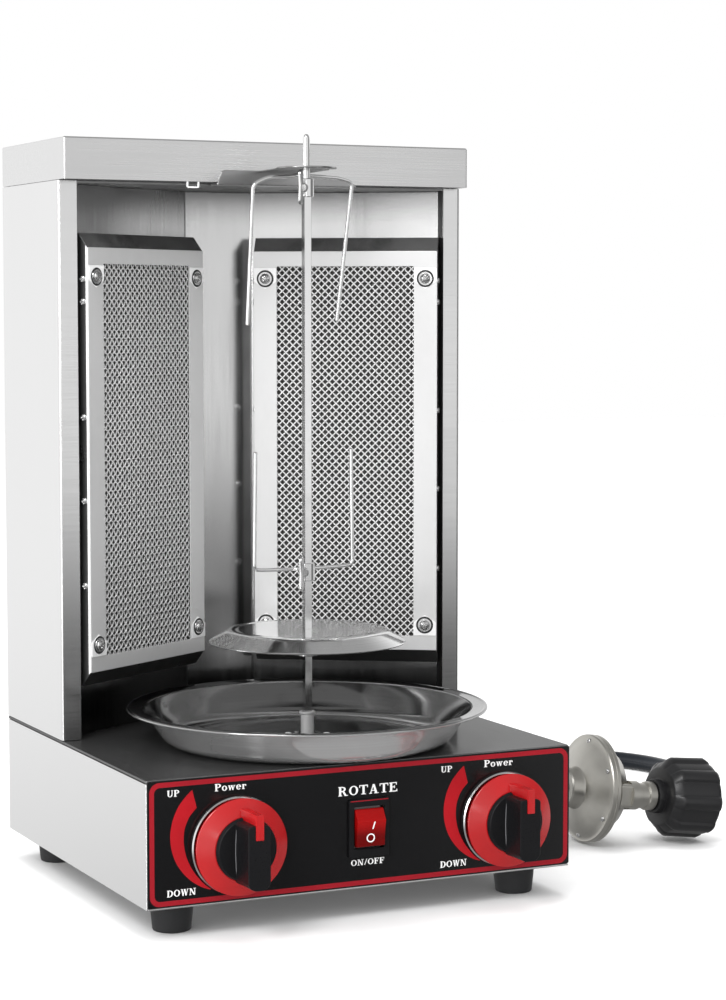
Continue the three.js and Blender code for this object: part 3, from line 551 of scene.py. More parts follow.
def tube(points, radius, sides=16, domed=0.0):
    """A round bar along the points."""
    pts = [Vector(p) for p in points]
    radii = [radius] * len(pts)
    if domed:
        first, last = (pts[0] - pts[1]).normalized(), (pts[-1] - pts[-2]).normalized()
        pts = [pts[0] + first * domed] + pts + [pts[-1] + last * domed]
        radii = [radii[0] * 0.55] + radii + [radii[-1] * 0.55]
    along = (pts[1] - pts[0]).normalized()
    side = along.orthogonal().normalized()
    rings = []
    for i, point in enumerate(pts):
        before, after = pts[max(i - 1, 0)], pts[min(i + 1, len(pts) - 1)]
        ahead = (after - before).normalized()
        side = (along.rotation_difference(ahead) @ side).normalized()
        along = ahead
        other = along.cross(side)
        turns = [TAU * k / sides for k in range(sides)]
        rings.append([point + (side * math.cos(t) + other * math.sin(t)) * radii[i] for t in turns])
    return skin(rings, capped=True)


def placed(origin, x_axis, y_axis, z_axis):
    """The matrix that lays a shape's axes along three given directions at origin."""
    columns = [Vector(v).to_4d() for v in (x_axis, y_axis, z_axis)]
    for column in columns:
        column.w = 0
    return Matrix(columns + [Vector(origin).to_4d()]).transposed()


UPRIGHT = placed((0, 0, 0), (1, 0, 0), (0, 0, 1), (0, -1, 0))
LAY_ACROSS = placed((0, 0, 0), (0, 1, 0), (0, 0, 1), (1, 0, 0))


def on_front(shape, y):
    """Lays a shape drawn in x and z, standing proud along its z, on the plane y = y facing the user."""
    return moved(shape, Matrix.Translation((0, y, 0)) @ UPRIGHT)


def on_back(shape, y):
    """Lays a shape drawn in x and z on the plane y = y facing backwards."""
    return moved(shape, placed((0, y, 0), (-1, 0, 0), (0, 0, 1), (0, 1, 0)))


def along_y(shape, x, y, z):
    """Lays a shape drawn up z along +y, from (x, y, z)."""
    return moved(shape, placed((x, y, z), (1, 0, 0), (0, 0, -1), (0, 1, 0)))


def across(shape, x=0.0, z=0.0):
    """Lays a shape drawn up z along +x, from (x, 0, z), its own x along y."""
    return moved(shape, Matrix.Translation((x, 0, z)) @ LAY_ACROSS)


def around(count, shape):
    """Turns a shape about z into a ring of that many copies."""
    return join(*[moved(shape, Matrix.Rotation(TAU * i / count, 4, "Z")) for i in range(count)])


def baked(obj):
    """Replaces the object's mesh by the one that its modifiers make."""
    graph = bpy.context.evaluated_depsgraph_get()
    final = bpy.data.meshes.new_from_object(obj.evaluated_get(graph))
    obj.modifiers.clear()
    old, obj.data = obj.data, final
    final.name = old.name
    bpy.data.meshes.remove(old)


def piece(name, shape, material, replaces=(), body="root", at=Matrix(), bevel=0.0, segments=2,
          angle=35.0, flats=True):
    """Makes a shape, laid by the matrix at, a piece: in metres, edges rounded, riding on its body."""
    mesh = bpy.data.meshes.new(name)
    verts, faces = moved(shape, at)
    mesh.from_pydata([Vector(v) * MM for v in verts], [], faces)
    mesh.materials.append(material)
    obj = bpy.data.objects.new(name, mesh)
    scene.collection.objects.link(obj)
    if bevel:
        edge = obj.modifiers.new("edges", "BEVEL")
        edge.width = bevel * MM
        edge.segments = segments
        edge.limit_method = "ANGLE"
        edge.angle_limit = math.radians(angle)
        baked(obj)
    obj.data.shade_smooth()
    obj.data.set_sharp_from_angle(angle=math.radians(angle))
    if flats:
        weigh = obj.modifiers.new("flats", "WEIGHTED_NORMAL")
        weigh.keep_sharp = True
        baked(obj)
    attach(obj, body)
    if replaces:
        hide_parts(*([replaces] if isinstance(replaces, str) else replaces))
    return obj


def finish_node(material, *names):
    """Gives carried-over CAD nodes a better material."""
    for name in names:
        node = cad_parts[name]
        node.data.materials.clear()
        node.data.materials.append(material)


SIDES = (("left", -1), ("right", 1))


# ---------------------------------------------------------------- hose and regulator
HOSE_DIAMETER = 13.0
LOOP_CENTRE = (342, 192)
LOOP_RADIUS = 98
LOOP_TURNS = (math.radians(200), math.radians(480))
HOSE_REST_Z = 6.8
REGULATOR = (258.0, -3.0, 38.8)
REGULATOR_TILT = math.radians(6.8)


def hose_points():
    """The middle of the hose from the inlet's ferrule, round one loop on the table, to the regulator's."""
    lead = [
        (118, 217.0, 44), (118, 230, 43.7), (120.5, 245, 39.5), (128, 262, 32), (141, 277, 23),
        (159, 286, 14.5), (179, 287, 9), (199, 280, 6.8), (216, 267, 6.8), (229, 249, 6.8),
        (237, 228, 6.8), (241.5, 205, 6.8), (244, 182, 6.8),
    ]
    loop = [(x, y, HOSE_REST_Z) for x, y in arc(LOOP_CENTRE, LOOP_RADIUS, *LOOP_TURNS, 16)]
    tail = [
        (268.5, 257, 9.5), (251.5, 234, 15.5), (241, 211, 21.2), (236, 187, 26), (236.5, 160, 30.8),
        (242.5, 132, 34.8), (251.5, 106, 37.8), (257.2, 84, 38.8), (258, 72, 38.8), (258, 62.6, 38.8),
    ]
    return lead + loop + tail


hose_line = smooth_path(hose_points(), 6)
hose = piece("hose", tube(hose_line, HOSE_DIAMETER / 2, 24), HOSE_RUBBER, "gas_hose",
             flats=False)


def ferrule_shape():
    """A crimped sleeve 23 mm long with two pressed waists."""
    profile = [(0, 0), (7.0, 0), (7.6, 0.5), (7.6, 2.6), (8.1, 3.2)]
    for centre in (8.0, 15.5):
        profile += [(8.1, centre - 2.6), (7.55, centre - 1.6), (7.55, centre + 1.6), (8.1, centre + 2.6)]
    profile += [(8.1, 22.2), (7.5, 23), (0, 23)]
    return lathe(profile, 48)


INLET_X, INLET_Z, INLET_END = 118, 44, 175.1
ferrule_a = piece("ferrule_a", along_y(ferrule_shape(), INLET_X, INLET_END + 18.6, INLET_Z), ZINC,
                  "ferrule_inlet_end")
ferrule_b = piece("ferrule_b", along_y(ferrule_shape(), REGULATOR[0], REGULATOR[1] + 42.3, REGULATOR[2]),
                  ZINC, "ferrule_regulator_end")
nut_shape = join(prism(circle(9.6, 6), 0, 12),
                 lathe([(0, 11.6), (8.2, 11.6), (8.2, 15), (7.4, 17.6), (0, 18)], 48))
flare_nut = piece("inlet_flare_nut", along_y(nut_shape, INLET_X, INLET_END + 0.3, INLET_Z), NUT_BRASS,
                  "flare_nut", bevel=0.5)


outlet = Vector((0, 1, 0))
inward = Vector((math.cos(REGULATOR_TILT), 0, -math.sin(REGULATOR_TILT)))
TO_REGULATOR = placed(REGULATOR, outlet, inward.cross(outlet), inward)
INLET_OFFSET = -25.0
TO_INLET = TO_REGULATOR @ Matrix.Translation((INLET_OFFSET, 0, 0))
bonnet = lathe([
    (0, -33.6), (4, -33.6), (4.6, -32.2), (9.5, -32.2), (10.2, -33.9), (13.2, -33.9), (14.2, -33),
    (14.4, -26.5), (15.6, -24.2), (22, -22.4), (29, -20.2), (33.4, -17.6), (36.2, -15.8), (38.6, -15.6),
    (39.3, -14.8), (39.3, -12.3), (38.9, -12), (38.9, -11.6), (39.3, -11.3), (39.3, -8.9), (38.6, -8.1),
    (36.2, -7.6), (32, -3), (27, 3.6), (20.5, 8), (17, 8.8), (0, 8.8),
], 96)
outlet_neck = across(lathe([(0, 16), (8.4, 16), (8.4, 30), (7.4, 30.6), (7.4, 33), (8.5, 33.6), (8.5, 41.4),
                            (8, 42), (0, 42)], 48))
inlet_neck = lathe([(0, 5), (10.4, 5), (10.4, 12), (9, 13), (9, 19), (10.4, 20), (10.4, 25.2), (0, 25.2)],
                   48)
regulator = piece("regulator_casting", join(bonnet, outlet_neck, shift(inlet_neck, INLET_OFFSET)), ZINC,
                  "regulator_body", at=TO_REGULATOR)
port_block = piece("regulator_ports", block(-32.6, 21.6, -8.6, 8.6, -5.6, 8.6), ZINC,
                   at=TO_REGULATOR, bevel=2.2, segments=4)


def screw_head(radius, height):
    """A pan-head screw standing on z = 0, with a cross recess."""
    steps = 5
    profile = [(0, -0.2), (radius, -0.2), (radius, height * 0.35)]
    for i in range(1, steps + 1):
        turn = math.pi / 2 * i / steps
        profile.append((radius * math.cos(turn) if i < steps else 0,
                        height * (0.35 + 0.65 * math.sin(turn))))
    verts, faces = lathe(profile, 40)
    for v in verts:
        on_arm = min(abs(v.x), abs(v.y)) < radius * 0.17 and v.z > 0
        if on_arm and v.xy.length < radius * 0.62:
            v.z -= height * 0.45
    return verts, faces


flange_screw = moved(screw_head(2.1, 1.6), Matrix.Rotation(math.pi, 4, "X"))
screw_places = arc((0, 0), 34.4, math.radians(30), math.radians(330), 5)
flange_screws = [shift(flange_screw, x, y, -16.2) for x, y in screw_places]
regulator_screws = piece("regulator_flange_screws", join(*flange_screws), SCREW_STEEL,
                         at=TO_REGULATOR)


def handwheel_shape():
    """A lobed handwheel open at its far end, where the cylinder valve goes in."""
    lobes, count = 8, 192
    collar = [(0, 26.2), (12, 26.2), (12.4, 26.8), (12.4, 31.6), (14, 32)]
    grip = [(20.5, 32, 0.0), (22, 33.2, 0.1), (25.4, 37, 0.6), (26.4, 40, 1.0), (27, 66.5, 1.0),
            (26.4, 69.6, 0.6), (24.6, 70.9, 0.2)]
    mouth = [(16.4, 70.9), (15.6, 70.2), (15.2, 49), (0, 49)]

    def lobed(radius, depth):
        return lambda turn: radius + depth * (2.7 * max(0.0, math.cos(lobes * turn)) ** 0.5 - 0.2)

    profile = collar + [(lobed(radius, depth), height) for radius, height, depth in grip] + mouth
    return lathe(profile, count)


handwheel = piece("handwheel_grip", handwheel_shape(), PLASTIC_BLACK,
                  "regulator_handwheel", "handwheel", at=TO_INLET, angle=50)
nozzle_shape = lathe([(0, 49.4), (11, 49.4), (11, 55), (9.6, 56), (7.2, 60), (6.6, 66), (5.4, 67.4),
                      (2.6, 67.4), (2.6, 60), (0, 60)], 48)
nozzle = piece("cylinder_nozzle", nozzle_shape, NUT_BRASS, body="handwheel", at=TO_INLET)
tuple(v * MM for v in hose_points()[0])


# ---------------------------------------------------------------- base
HALF = 150.0
BASE_FRONT, BASE_BACK = -137.5, 139.0
shell_outer = rounded_rectangle(-HALF, HALF, BASE_FRONT, BASE_BACK, 1.6, 5)
shell_inner = rounded_rectangle(-HALF + 1.5, HALF - 1.5, BASE_FRONT + 1.5, BASE_BACK - 1.5, 0.6, 3)
piece("base_walls", plate([shell_outer, shell_inner], 20.0, 98.9, 0.35), SIDE_STEEL,
      "base_shell")
BURNER_X, BURNER_Y = 74.8, 52.2
SUPPLY_BACK = 40.0
tube_x = BURNER_X + SUPPLY_BACK * math.sin(BURNER_ANGLE)
tube_y = BURNER_Y + SUPPLY_BACK * math.cos(BURNER_ANGLE)
tube_holes = [circle(9.5, 32, (sign * tube_x, tube_y)) for _, sign in SIDES]
piece("base_top_plate",
      plate([shell_outer, circle(9, 48, (SPIT_X, SPIT_Y))] + tube_holes, 99.2, 101.0, 0.6, 2), TOP_STEEL,
      "base_top")

# ---------------------------------------------------------------- control panel
PANEL_Y = -139.0
KNOB_Z = 56.0
KNOBS = (("left", -89.5), ("right", 100.5))
SWITCH_X, SWITCH_Z = 1.0, 59.2
panel_outline = rounded_rectangle(-149.5, 149.5, 21.4, 100.7, 1.2, 4)
panel_holes = [circle(7, 32, (x, KNOB_Z)) for _, x in KNOBS]
switch_hole = rounded_rectangle(-12.6, 12.6, -16.1, 16.1, 1, 2)
panel_holes.append([(SWITCH_X + px, SWITCH_Z + pz) for px, pz in switch_hole])
piece("control_panel", on_front(plate([panel_outline] + panel_holes, -1.2, 0, 0.15), PANEL_Y), PANEL_BLACK,
      "control_fascia")
piece("fascia_lip", block(-149.2, 149.2, -139.0, -137.6, 20.0, 21.1), FRONT_STEEL,
      bevel=0.3)
PRINT = 0.12
border = [rounded_rectangle(-148.2, 148.2, 22.1, 99.5, 6.4, 8),
          rounded_rectangle(-145.1, 145.1, 25.2, 96.4, 3.8, 8)]
piece("panel_border", on_front(plate(border, 0, PRINT), PANEL_Y), PRINT_AND_REFLECTION_RED)


def between(keys, value):
    """Straight interpolation through (position, value) pairs."""
    for (a, va), (b, vb) in zip(keys, keys[1:]):
        if value <= b:
            return va + (vb - va) * (value - a) / (b - a)
    return keys[-1][1]


def crescent(x):
    """The scale mark beside a knob: a broad pointed arc that thins towards the bottom."""
    outer_keys = ((129, 48.2), (145, 48.3), (155, 47.6), (166, 46.4), (177, 44.6), (190, 42), (202, 39.2),
                  (216, 36.1), (227, 33.8), (235, 32.1))
    inner_keys = ((136.5, 37.8), (148, 38.4), (160, 37.9), (171, 36.6), (185, 34.9), (200, 33.2), (215, 32),
                  (235, 31.6))
    steps = 40
    points = []
    for keys, start, end in ((outer_keys, 129, 235), (inner_keys, 235, 136.5)):
        for i in range(steps + 1):
            degrees = start + (end - start) * i / steps
            radius, turn = between(keys, degrees), math.radians(degrees)
            points.append((x + radius * math.cos(turn), KNOB_Z + radius * math.sin(turn)))
    return points


marks = [on_front(plate([crescent(x)], 0, PRINT), PANEL_Y) for _, x in KNOBS]
piece("panel_scales", join(*marks), MARK_RED)
words = [
    ("ROTATE", -20.1, 21.7, 80.8, 86.8), ("ON/OFF", -11.1, 12.4, 35.0, 38.8),
    ("UP", -136.5, -128.5, 90.2, 94.3), ("Power", -104.8, -83.6, 91.2, 95.8),
    ("DOWN", -136.9, -117.7, 27.6, 31.8),
    ("UP", 53.5, 61.5, 90.2, 94.3), ("Power", 85.2, 106.4, 91.2, 95.8), ("DOWN", 53.1, 72.3, 27.6, 31.8),
]
piece("panel_words", on_front(join(*[lettering(*word) for word in words]), PANEL_Y), PRINT_WHITE)

for side, x in KNOBS:
    at = Matrix.Translation((x, PANEL_Y, KNOB_Z)) @ UPRIGHT
    ring = lathe([(25.6, 0.3), (31.1, 0.3), (31.1, 1.1), (30.4, 2.0), (29.4, 2.2), (26.2, 2.2), (25.6, 1.7)],
                 128, True)
    piece(f"knob_bezel_{side}", ring, CHROME, f"knob_ring_{side}", at=at)
    cone = lathe([(8, 8.6), (26.4, 8.6), (29.2, 5.6), (30.2, 5.5), (30.7, 5.9), (30.75, 7.1), (30.3, 7.7),
                  (21.0, 13.0), (20.5, 13.15), (8, 13.15)], 128, True)
    piece(f"knob_cone_{side}", cone, KNOB_RED, f"knob_skirt_{side}", f"knob_{side}", at=at)
    rib = [(17.6, 10.5), (25.3, 10.5), (25.3, 36.1), (9.6, 36.1), (9.6, 35.1), (17.6, 35.1)]
    piece(f"knob_pointer_{side}", across(prism(rib, -2.7, 2.7)), KNOB_RED,
          body=f"knob_{side}", at=at, bevel=0.4)
    hub = lathe([(0, 13.3), (20, 13.3), (20.3, 13.6), (19.8, 15.6), (19, 16.4), (10, 16.6), (0, 16.6)], 96)
    piece(f"knob_hub_{side}", hub, KNOB_BLACK, f"knob_grip_{side}", f"knob_{side}", at=at)
    section = [(-7.5, -17.6), (-5.9, -20.4), (-3.0, -22), (3.0, -22), (5.9, -20.4), (7.5, -17.6),
               (7.5, 16.9), (6.4, 18.2), (3.0, 18.8), (-3.0, 18.8), (-6.4, 18.2), (-7.5, 16.9)]
    rows = ((14.4, 1.17), (16.6, 1.1), (20, 1.02), (25, 0.97), (35.3, 1.0))
    grip = skin([[(px * wide, py, out) for px, py in section] for out, wide in rows], capped=True)
    piece(f"knob_bar_{side}", grip, KNOB_BLACK, body=f"knob_{side}", at=at, bevel=0.9,
          segments=4, angle=25)
    # Painted highlight: thin pale ridges along the bar's back edges stand for its edge highlights.
    ridges = []
    for edge in (-1, 1):
        line = [(edge * (7.6 + 0.9 * math.cos(y / 17 * math.pi / 2)), y, 17.2) for y in range(-16, 18, 2)]
        ridges.append(tube(line, 0.3, 8))
    piece(f"knob_bar_edge_highlights_{side}", join(*ridges), KNOB_EDGE_HIGHLIGHT, body=f"knob_{side}", at=at)

bezel = [rounded_rectangle(-14.3, 14.3, -18.7, 18.7, 1.6, 5),
         rounded_rectangle(-10.7, 10.7, -13.4, 13.9, 0.8, 3)]
switch_at = Matrix.Translation((SWITCH_X, PANEL_Y, SWITCH_Z)) @ UPRIGHT
piece("switch_bezel", plate(bezel, 0.3, 2.3, 0.5, 2), KNOB_BLACK, at=switch_at)
# Painted reflection: the thin red line on the bezel's top edge stands for the red border mirrored there.
piece("switch_bezel_red_reflection", block(-13.4, 13.4, 17.5, 18.2, 1.5, 2.4), PRINT_AND_REFLECTION_RED, at=switch_at,
      bevel=0.2)
well_outline = rounded_rectangle(-12.3, 12.3, -15.8, 15.8, 0.6, 2)
well = join(plate([well_outline, rounded_rectangle(-11.25, 11.25, -14.8, 14.8, 0.4, 2)], -17, 0.6),
            plate([well_outline], -17, -11.2))
blades = [block(-3, 3, z - 0.4, z + 0.4, -25, -16.9) for z in (-9, 0, 9)]
piece("switch_body", join(well, *blades), PLASTIC_BLACK, "switch_housing", at=switch_at)
rocker_side = [(-4.0, 12.3), (-8.5, 5.0), (-7.6, 0.0), (-6.7, -6.0), (-6.6, -11.8), (-1, -11.8), (5, -5),
               (5, 5), (0, 12.3)]
rocker_outline = rounded([(z, -(y + 2.5)) for y, z in rocker_side], 0.8, 3)
rocker_at = placed((SWITCH_X, PANEL_Y, SWITCH_Z), (0, 0, 1), (0, -1, 0), (1, 0, 0))
piece("rocker_cap", prism(rocker_outline[::-1], -10.1, 10.1), ROCKER_RED, "switch_rocker",
      "rocker", at=rocker_at, bevel=0.35)


def on_rocker(shape):
    """Lays a flat shape, drawn in x and z about the rocker's middle, on the rocker's bent front."""
    face = ((-12.9, 6.8), (-6.0, 6.7), (0.0, 7.6), (5.0, 8.5), (12.9, 4.0))
    pivot = PANEL_Y + 2.5
    verts = [Vector((SWITCH_X + v.x, pivot - between(face, v.y) - v.z, SWITCH_Z + v.y)) for v in shape[0]]
    return verts, shape[1]


stroke = plate([[(0.55, -0.3), (1.4, -0.3), (2.5, 4.5), (1.65, 4.5)]], -0.1, 0.15)
ring_mark = plate([circle(2.9, 48, (-0.2, -6.1)), circle(2.15, 48, (-0.2, -6.1))], -0.1, 0.15)
piece("rocker_marks", on_rocker(join(stroke, ring_mark)), PRINT_WHITE, body="rocker")

# ---------------------------------------------------------------- feet
foot_profile = [(0, 1.6), (3.4, 1.6), (3.8, 0.2), (11.4, 0.0), (12.0, 0.35), (12.4, 1.1), (13.5, 12),
                (13.9, 18), (13.6, 19.4), (12.8, 19.7), (0, 19.7)]
for end, y in (("front", -111), ("rear", 111)):
    for side, sign in SIDES:
        piece(f"foot_pad_{end}_{side}", shift(lathe(foot_profile, 64), sign * 123, y), FOOT_RUBBER,
              f"foot_{end}_{side}")

# ---------------------------------------------------------------- tower
TOWER_FRONT, TOWER_BOTTOM, TOWER_TOP = 19.5, 101.3, 475.0
for side, sign in SIDES:
    middle = [(149.25, BASE_BACK), (149.25, TOWER_FRONT + 0.75), (136.5, TOWER_FRONT + 0.75)]
    bent = rounded(middle, 1.9, 6, closed=False)
    outline = [(sign * p.x, p.y) for p in ribbon(bent, 1.5)]
    if sign > 0:
        outline.reverse()
    piece(f"tower_wall_{side}", prism(outline, TOWER_BOTTOM, TOWER_TOP), SIDE_STEEL,
          f"tower_side_{side}", bevel=0.25)
    edge = sorted((sign * 136.6, sign * 138.0))
    # The lip is dark steel: painted shade in the gap between the flange and the burner.
    piece(f"tower_lip_painted_shade_{side}", block(*edge, 20.9, 28.5, 101.4, TOWER_TOP - 0.2), PAINTED_SHADE_STEEL,
          bevel=0.3)

slots = [rounded_rectangle(-60, 60, z, z + 5, 2.4, 6) for z in range(370, 435, 16)]
back_panel = plate([rounded_rectangle(-148.2, 148.2, TOWER_BOTTOM, TOWER_TOP, 1, 3)] + slots, 0, 1.5, 0.3)
piece("tower_rear_panel", on_back(back_panel, 137.5), SIDE_STEEL, "tower_back")


def liner_path():
    distance = 20.1
    x0 = -BURNER_X - distance * math.sin(BURNER_ANGLE)
    y0 = BURNER_Y + distance * math.cos(BURNER_ANGLE)
    edge = -HALF + 1.8
    centre_y = 107.6
    edge_y = y0 + (edge - x0) * math.tan(BURNER_ANGLE)
    fold_x = x0 + (centre_y - y0) / math.tan(BURNER_ANGLE)
    return [(edge, edge_y), (fold_x, centre_y), (-fold_x, centre_y), (-edge, edge_y)]


liner_outline = ribbon(rounded(liner_path(), 1.6, 6, closed=False), 1.2)
piece("tower_liner", prism(liner_outline, TOWER_BOTTOM, 473.2), LINER_STEEL, "inner_liner",
      bevel=0.2)

# ---------------------------------------------------------------- cap
CAP_FRONT, CAP_BACK, CAP_BOTTOM, CAP_TOP = 7.6, 140.0, 475.3, 503.0


def cap_shape():
    """A lid folded from one sheet: rounded folds, open below, with a rear wall that has a row of vents."""
    skin_verts, skin_faces = block(-149.5, 149.5, CAP_FRONT, CAP_BACK - 1.2, CAP_BOTTOM, CAP_TOP)
    bm = bmesh.new()
    points = [bm.verts.new(v) for v in skin_verts]
    for index in (1, 2, 4, 5):
        bm.faces.new([points[i] for i in skin_faces[index]])
    folds = [e for e in bm.edges if len(e.link_faces) == 2]
    bmesh.ops.bevel(bm, geom=folds, offset=1.5, segments=4, affect="EDGES", profile=0.5)
    bmesh.ops.solidify(bm, geom=bm.faces[:], thickness=1.2)
    bmesh.ops.recalc_face_normals(bm, faces=bm.faces[:])
    bm.verts.index_update()
    shape = [v.co.copy() for v in bm.verts], [[v.index for v in f.verts] for f in bm.faces]
    bm.free()
    vents = [rounded_rectangle(x - 9, x + 9, 484.3, 492.3, 0.8, 4) for x in range(-90, 91, 30)]
    rear = plate([rounded_rectangle(-149.5, 149.5, CAP_BOTTOM, CAP_TOP, 1.5, 4)] + vents, -1.2, 0, 0.3)
    return join(shape, on_back(rear, CAP_BACK))


piece("cap_lid", cap_shape(), FRONT_STEEL, "top_cap")
hem_section = [(0.4, 1.6), (0.4, 0.4), (0.8, 0), (13, 0), (13, 1.2), (1.7, 1.2)]
hem_section = [(CAP_FRONT + back, CAP_BOTTOM + up) for back, up in hem_section]
piece("cap_hem", across(prism(hem_section, -148.2, 148.2)), DULL_STEEL)

# ---------------------------------------------------------------- hook bracket
PLATE_TOP = 483.4
RISE = CAP_FRONT - 0.3
arm = [(-12.0, RISE), (-13.6, -16.0), (-15.5, SPIT_Y + 14)]
arm += arc((0, SPIT_Y), 20, math.pi * 0.82, math.pi * 1.88, 28)
arm += [(18.8, SPIT_Y - 3.6)]
arm += arc((0, SPIT_Y), 3.6, math.pi * 1.5, math.pi * 0.5, 16)
arm += [(19, SPIT_Y + 5), (20.2, SPIT_Y + 20), (24, RISE)]
wing = [(-42, 473.5), (62, 473.5), (61, 475.5), (48, 478.5), (24, 481.1), (8, PLATE_TOP), (-38, PLATE_TOP)]
wing = rounded(wing, 3.0, 6)
tab_section = rounded_rectangle(-42, 62, RISE - 1.2, CAP_FRONT + 12, 2, 4)
hook_parts = join(
    plate([arm], PLATE_TOP - 1.2, PLATE_TOP, 0.35, 2),
    on_front(plate([wing], 0, 1.2, 0.35, 2), RISE),
    plate([tab_section], 473.5, 474.7, 0.3),
)
clip = join(block(-63, -61.9, 7.8, 9.2, 471.4, 475.2), block(-55.1, -54, 7.8, 9.2, 471.4, 475.2),
            block(-62.4, -54.6, 7.9, 9.1, 471.0, 472.0))
piece("hem_clip", clip, TAB_AND_EDGE_HIGHLIGHT_STEEL, bevel=0.2)
piece("hook_plate", hook_parts, HOOK_STEEL, "hook_bracket")

# ---------------------------------------------------------------- burners
FRAME_BOTTOM, FRAME_TOP = 146.3, 431.0
FLARE, FRAME_DEPTH = 9.6, 8.0
HALF_FRAME = 65.7
WINDOW = (-49.2, 49.2, FRAME_BOTTOM + 10.2, FRAME_TOP - 10.8)
SHEET = 1.2


def gauze_shape():
    """Crimped wires woven on the bias, cut to the window; each wire passes over and under the next."""
    pitch, radius, swing, behind = 3.65, 0.56, 0.46, 2.0
    x0, x1, z0, z1 = WINDOW[0] - 1.5, WINDOW[1] + 1.5, WINDOW[2] - 1.5, WINDOW[3] + 1.5
    half = pitch / math.sqrt(2)
    columns, rows = int((x1 - x0) / half), int((z1 - z0) / half)
    parts = []
    for way in (1, -1):
        for start in range(-columns if way > 0 else 0, rows + (0 if way > 0 else columns) + 1):
            if start % 2:
                continue
            points = []
            for i in range(columns + 1):
                j = start + i * way
                if 0 <= j <= rows:
                    side = swing * way * (1 if i % 2 else -1)
                    points.append((x0 + i * half, behind + side, z0 + j * half))
            if len(points) > 2:
                parts.append(tube(points, radius, 5))
    return join(*parts)


gauze = gauze_shape()
for side, sign in SIDES:
    face = Matrix.Translation((sign * BURNER_X, BURNER_Y, 0)) @ Matrix.Rotation(-sign * BURNER_ANGLE, 4, "Z")
    x0, x1, z0, z1 = WINDOW
    front_plate = on_front(plate([
        rounded_rectangle(-HALF_FRAME, HALF_FRAME, FRAME_BOTTOM, FRAME_TOP, 0.8, 3),
        rounded_rectangle(x0, x1, z0, z1, 0.8, 3),
    ], -SHEET, 0, 0.3), 0)
    slopes = [
        [(0.25, FRAME_TOP - 0.9), (0.6, FRAME_TOP - 0.1), (FRAME_DEPTH, FRAME_TOP + FLARE),
         (FRAME_DEPTH, FRAME_TOP + FLARE - 1.4)],
        [(0.6, FRAME_BOTTOM + 0.1), (0.25, FRAME_BOTTOM + 0.9), (FRAME_DEPTH, FRAME_BOTTOM - FLARE + 1.4),
         (FRAME_DEPTH, FRAME_BOTTOM - FLARE)],
    ]
    cheeks, lips = [], []
    for edge in (-1, 1):
        inner, outer = edge * (HALF_FRAME - SHEET), edge * HALF_FRAME
        low, high = min(inner, outer), max(inner, outer)
        cheek = [(2.4, FRAME_BOTTOM - 1.4), (FRAME_DEPTH, FRAME_BOTTOM - FLARE + 0.6),
                 (FRAME_DEPTH, FRAME_TOP + FLARE - 0.6), (2.4, FRAME_TOP + 1.4)]
        cheeks.append(across(prism(cheek, low, high)))
        lip = [(0.5, FRAME_BOTTOM + 0.6), (2.3, FRAME_BOTTOM - 1.3),
               (2.3, FRAME_TOP + 1.3), (0.5, FRAME_TOP - 0.6)]
        lips.append(across(prism(lip, low, high)))
    upper_slope, lower_slope = [across(prism(s, -HALF_FRAME, HALF_FRAME)) for s in slopes]
    piece(f"burner_face_{side}", front_plate, FRAME_STEEL, f"burner_frame_{side}",
          at=face)
    piece(f"burner_upper_slope_{side}", upper_slope, SLOPE_STEEL, at=face, bevel=0.2)
    # Painted shade: the lower slope and the side cheeks are dark steel for the shade under and beside the
    # frame.
    piece(f"burner_shade_{side}", join(lower_slope, *cheeks), PAINTED_SHADE_STEEL, at=face,
          bevel=0.2)
    # Painted highlight: the pale lips stand for the highlight along the frame's rounded side edges.
    piece(f"burner_lips_{side}", join(*lips), TAB_AND_EDGE_HIGHLIGHT_STEEL, at=face, bevel=0.2)
    piece(f"burner_gauze_{side}", gauze, GAUZE_WIRE, f"burner_mesh_{side}", at=face,
          angle=80, flats=False)
    corner_tabs, screws, gaskets = [], [], []
    for x in (-1, 1):
        for z in (FRAME_BOTTOM + 18.2, FRAME_TOP - 19.5):
            cx = x * 57.4
            up = 1 if z > 300 else -1
            tab = [(-8.1, -2 * up), (0, -7.2 * up), (8.1, -2 * up), (8.1, 7.6 * up), (-8.1, 7.6 * up)]
            tab = [(cx + px, z + pz) for px, pz in (tab if up > 0 else tab[::-1])]
            corner_tabs.append(on_front(plate([rounded(tab, 0.6, 2)], 0.05, 0.6, 0.12), 0))
            washer = lathe([(1.5, 0.5), (4.8, 0.5), (5.0, 0.8), (4.8, 1.2), (1.5, 1.3)], 40, True)
            head = screw_head(3.7, 2.4)
            at = Matrix.Translation((cx, 0, z)) @ UPRIGHT
            gasket = lathe([(4.9, 0.5), (6.0, 0.5), (6.1, 0.7), (5.9, 0.9), (4.9, 0.9)], 48, True)
            gaskets.append(moved(gasket, at))
            screws.append(moved(join(washer, shift(head, z=1.2)), at @ Matrix.Rotation(0.6 * x + z, 4, "Z")))
    piece(f"burner_corner_tabs_{side}", join(*corner_tabs), TAB_AND_EDGE_HIGHLIGHT_STEEL, at=face)
    piece(f"burner_screws_{side}", join(*screws), SCREW_STEEL, at=face)
    piece(f"burner_screw_gaskets_{side}", join(*gaskets), PLASTIC_BLACK, at=face)
    side_screws = []
    for height in (205, 262, 318, 395, 410):
        for edge in (-1, 1):
            sideways = moved(screw_head(2.3, 1.5), Matrix.Rotation(edge * math.pi / 2, 4, "Y"))
            side_screws.append(shift(sideways, edge * HALF_FRAME, 4.5, height))
    piece(f"burner_side_screws_{side}", join(*side_screws), SCREW_STEEL, at=face)

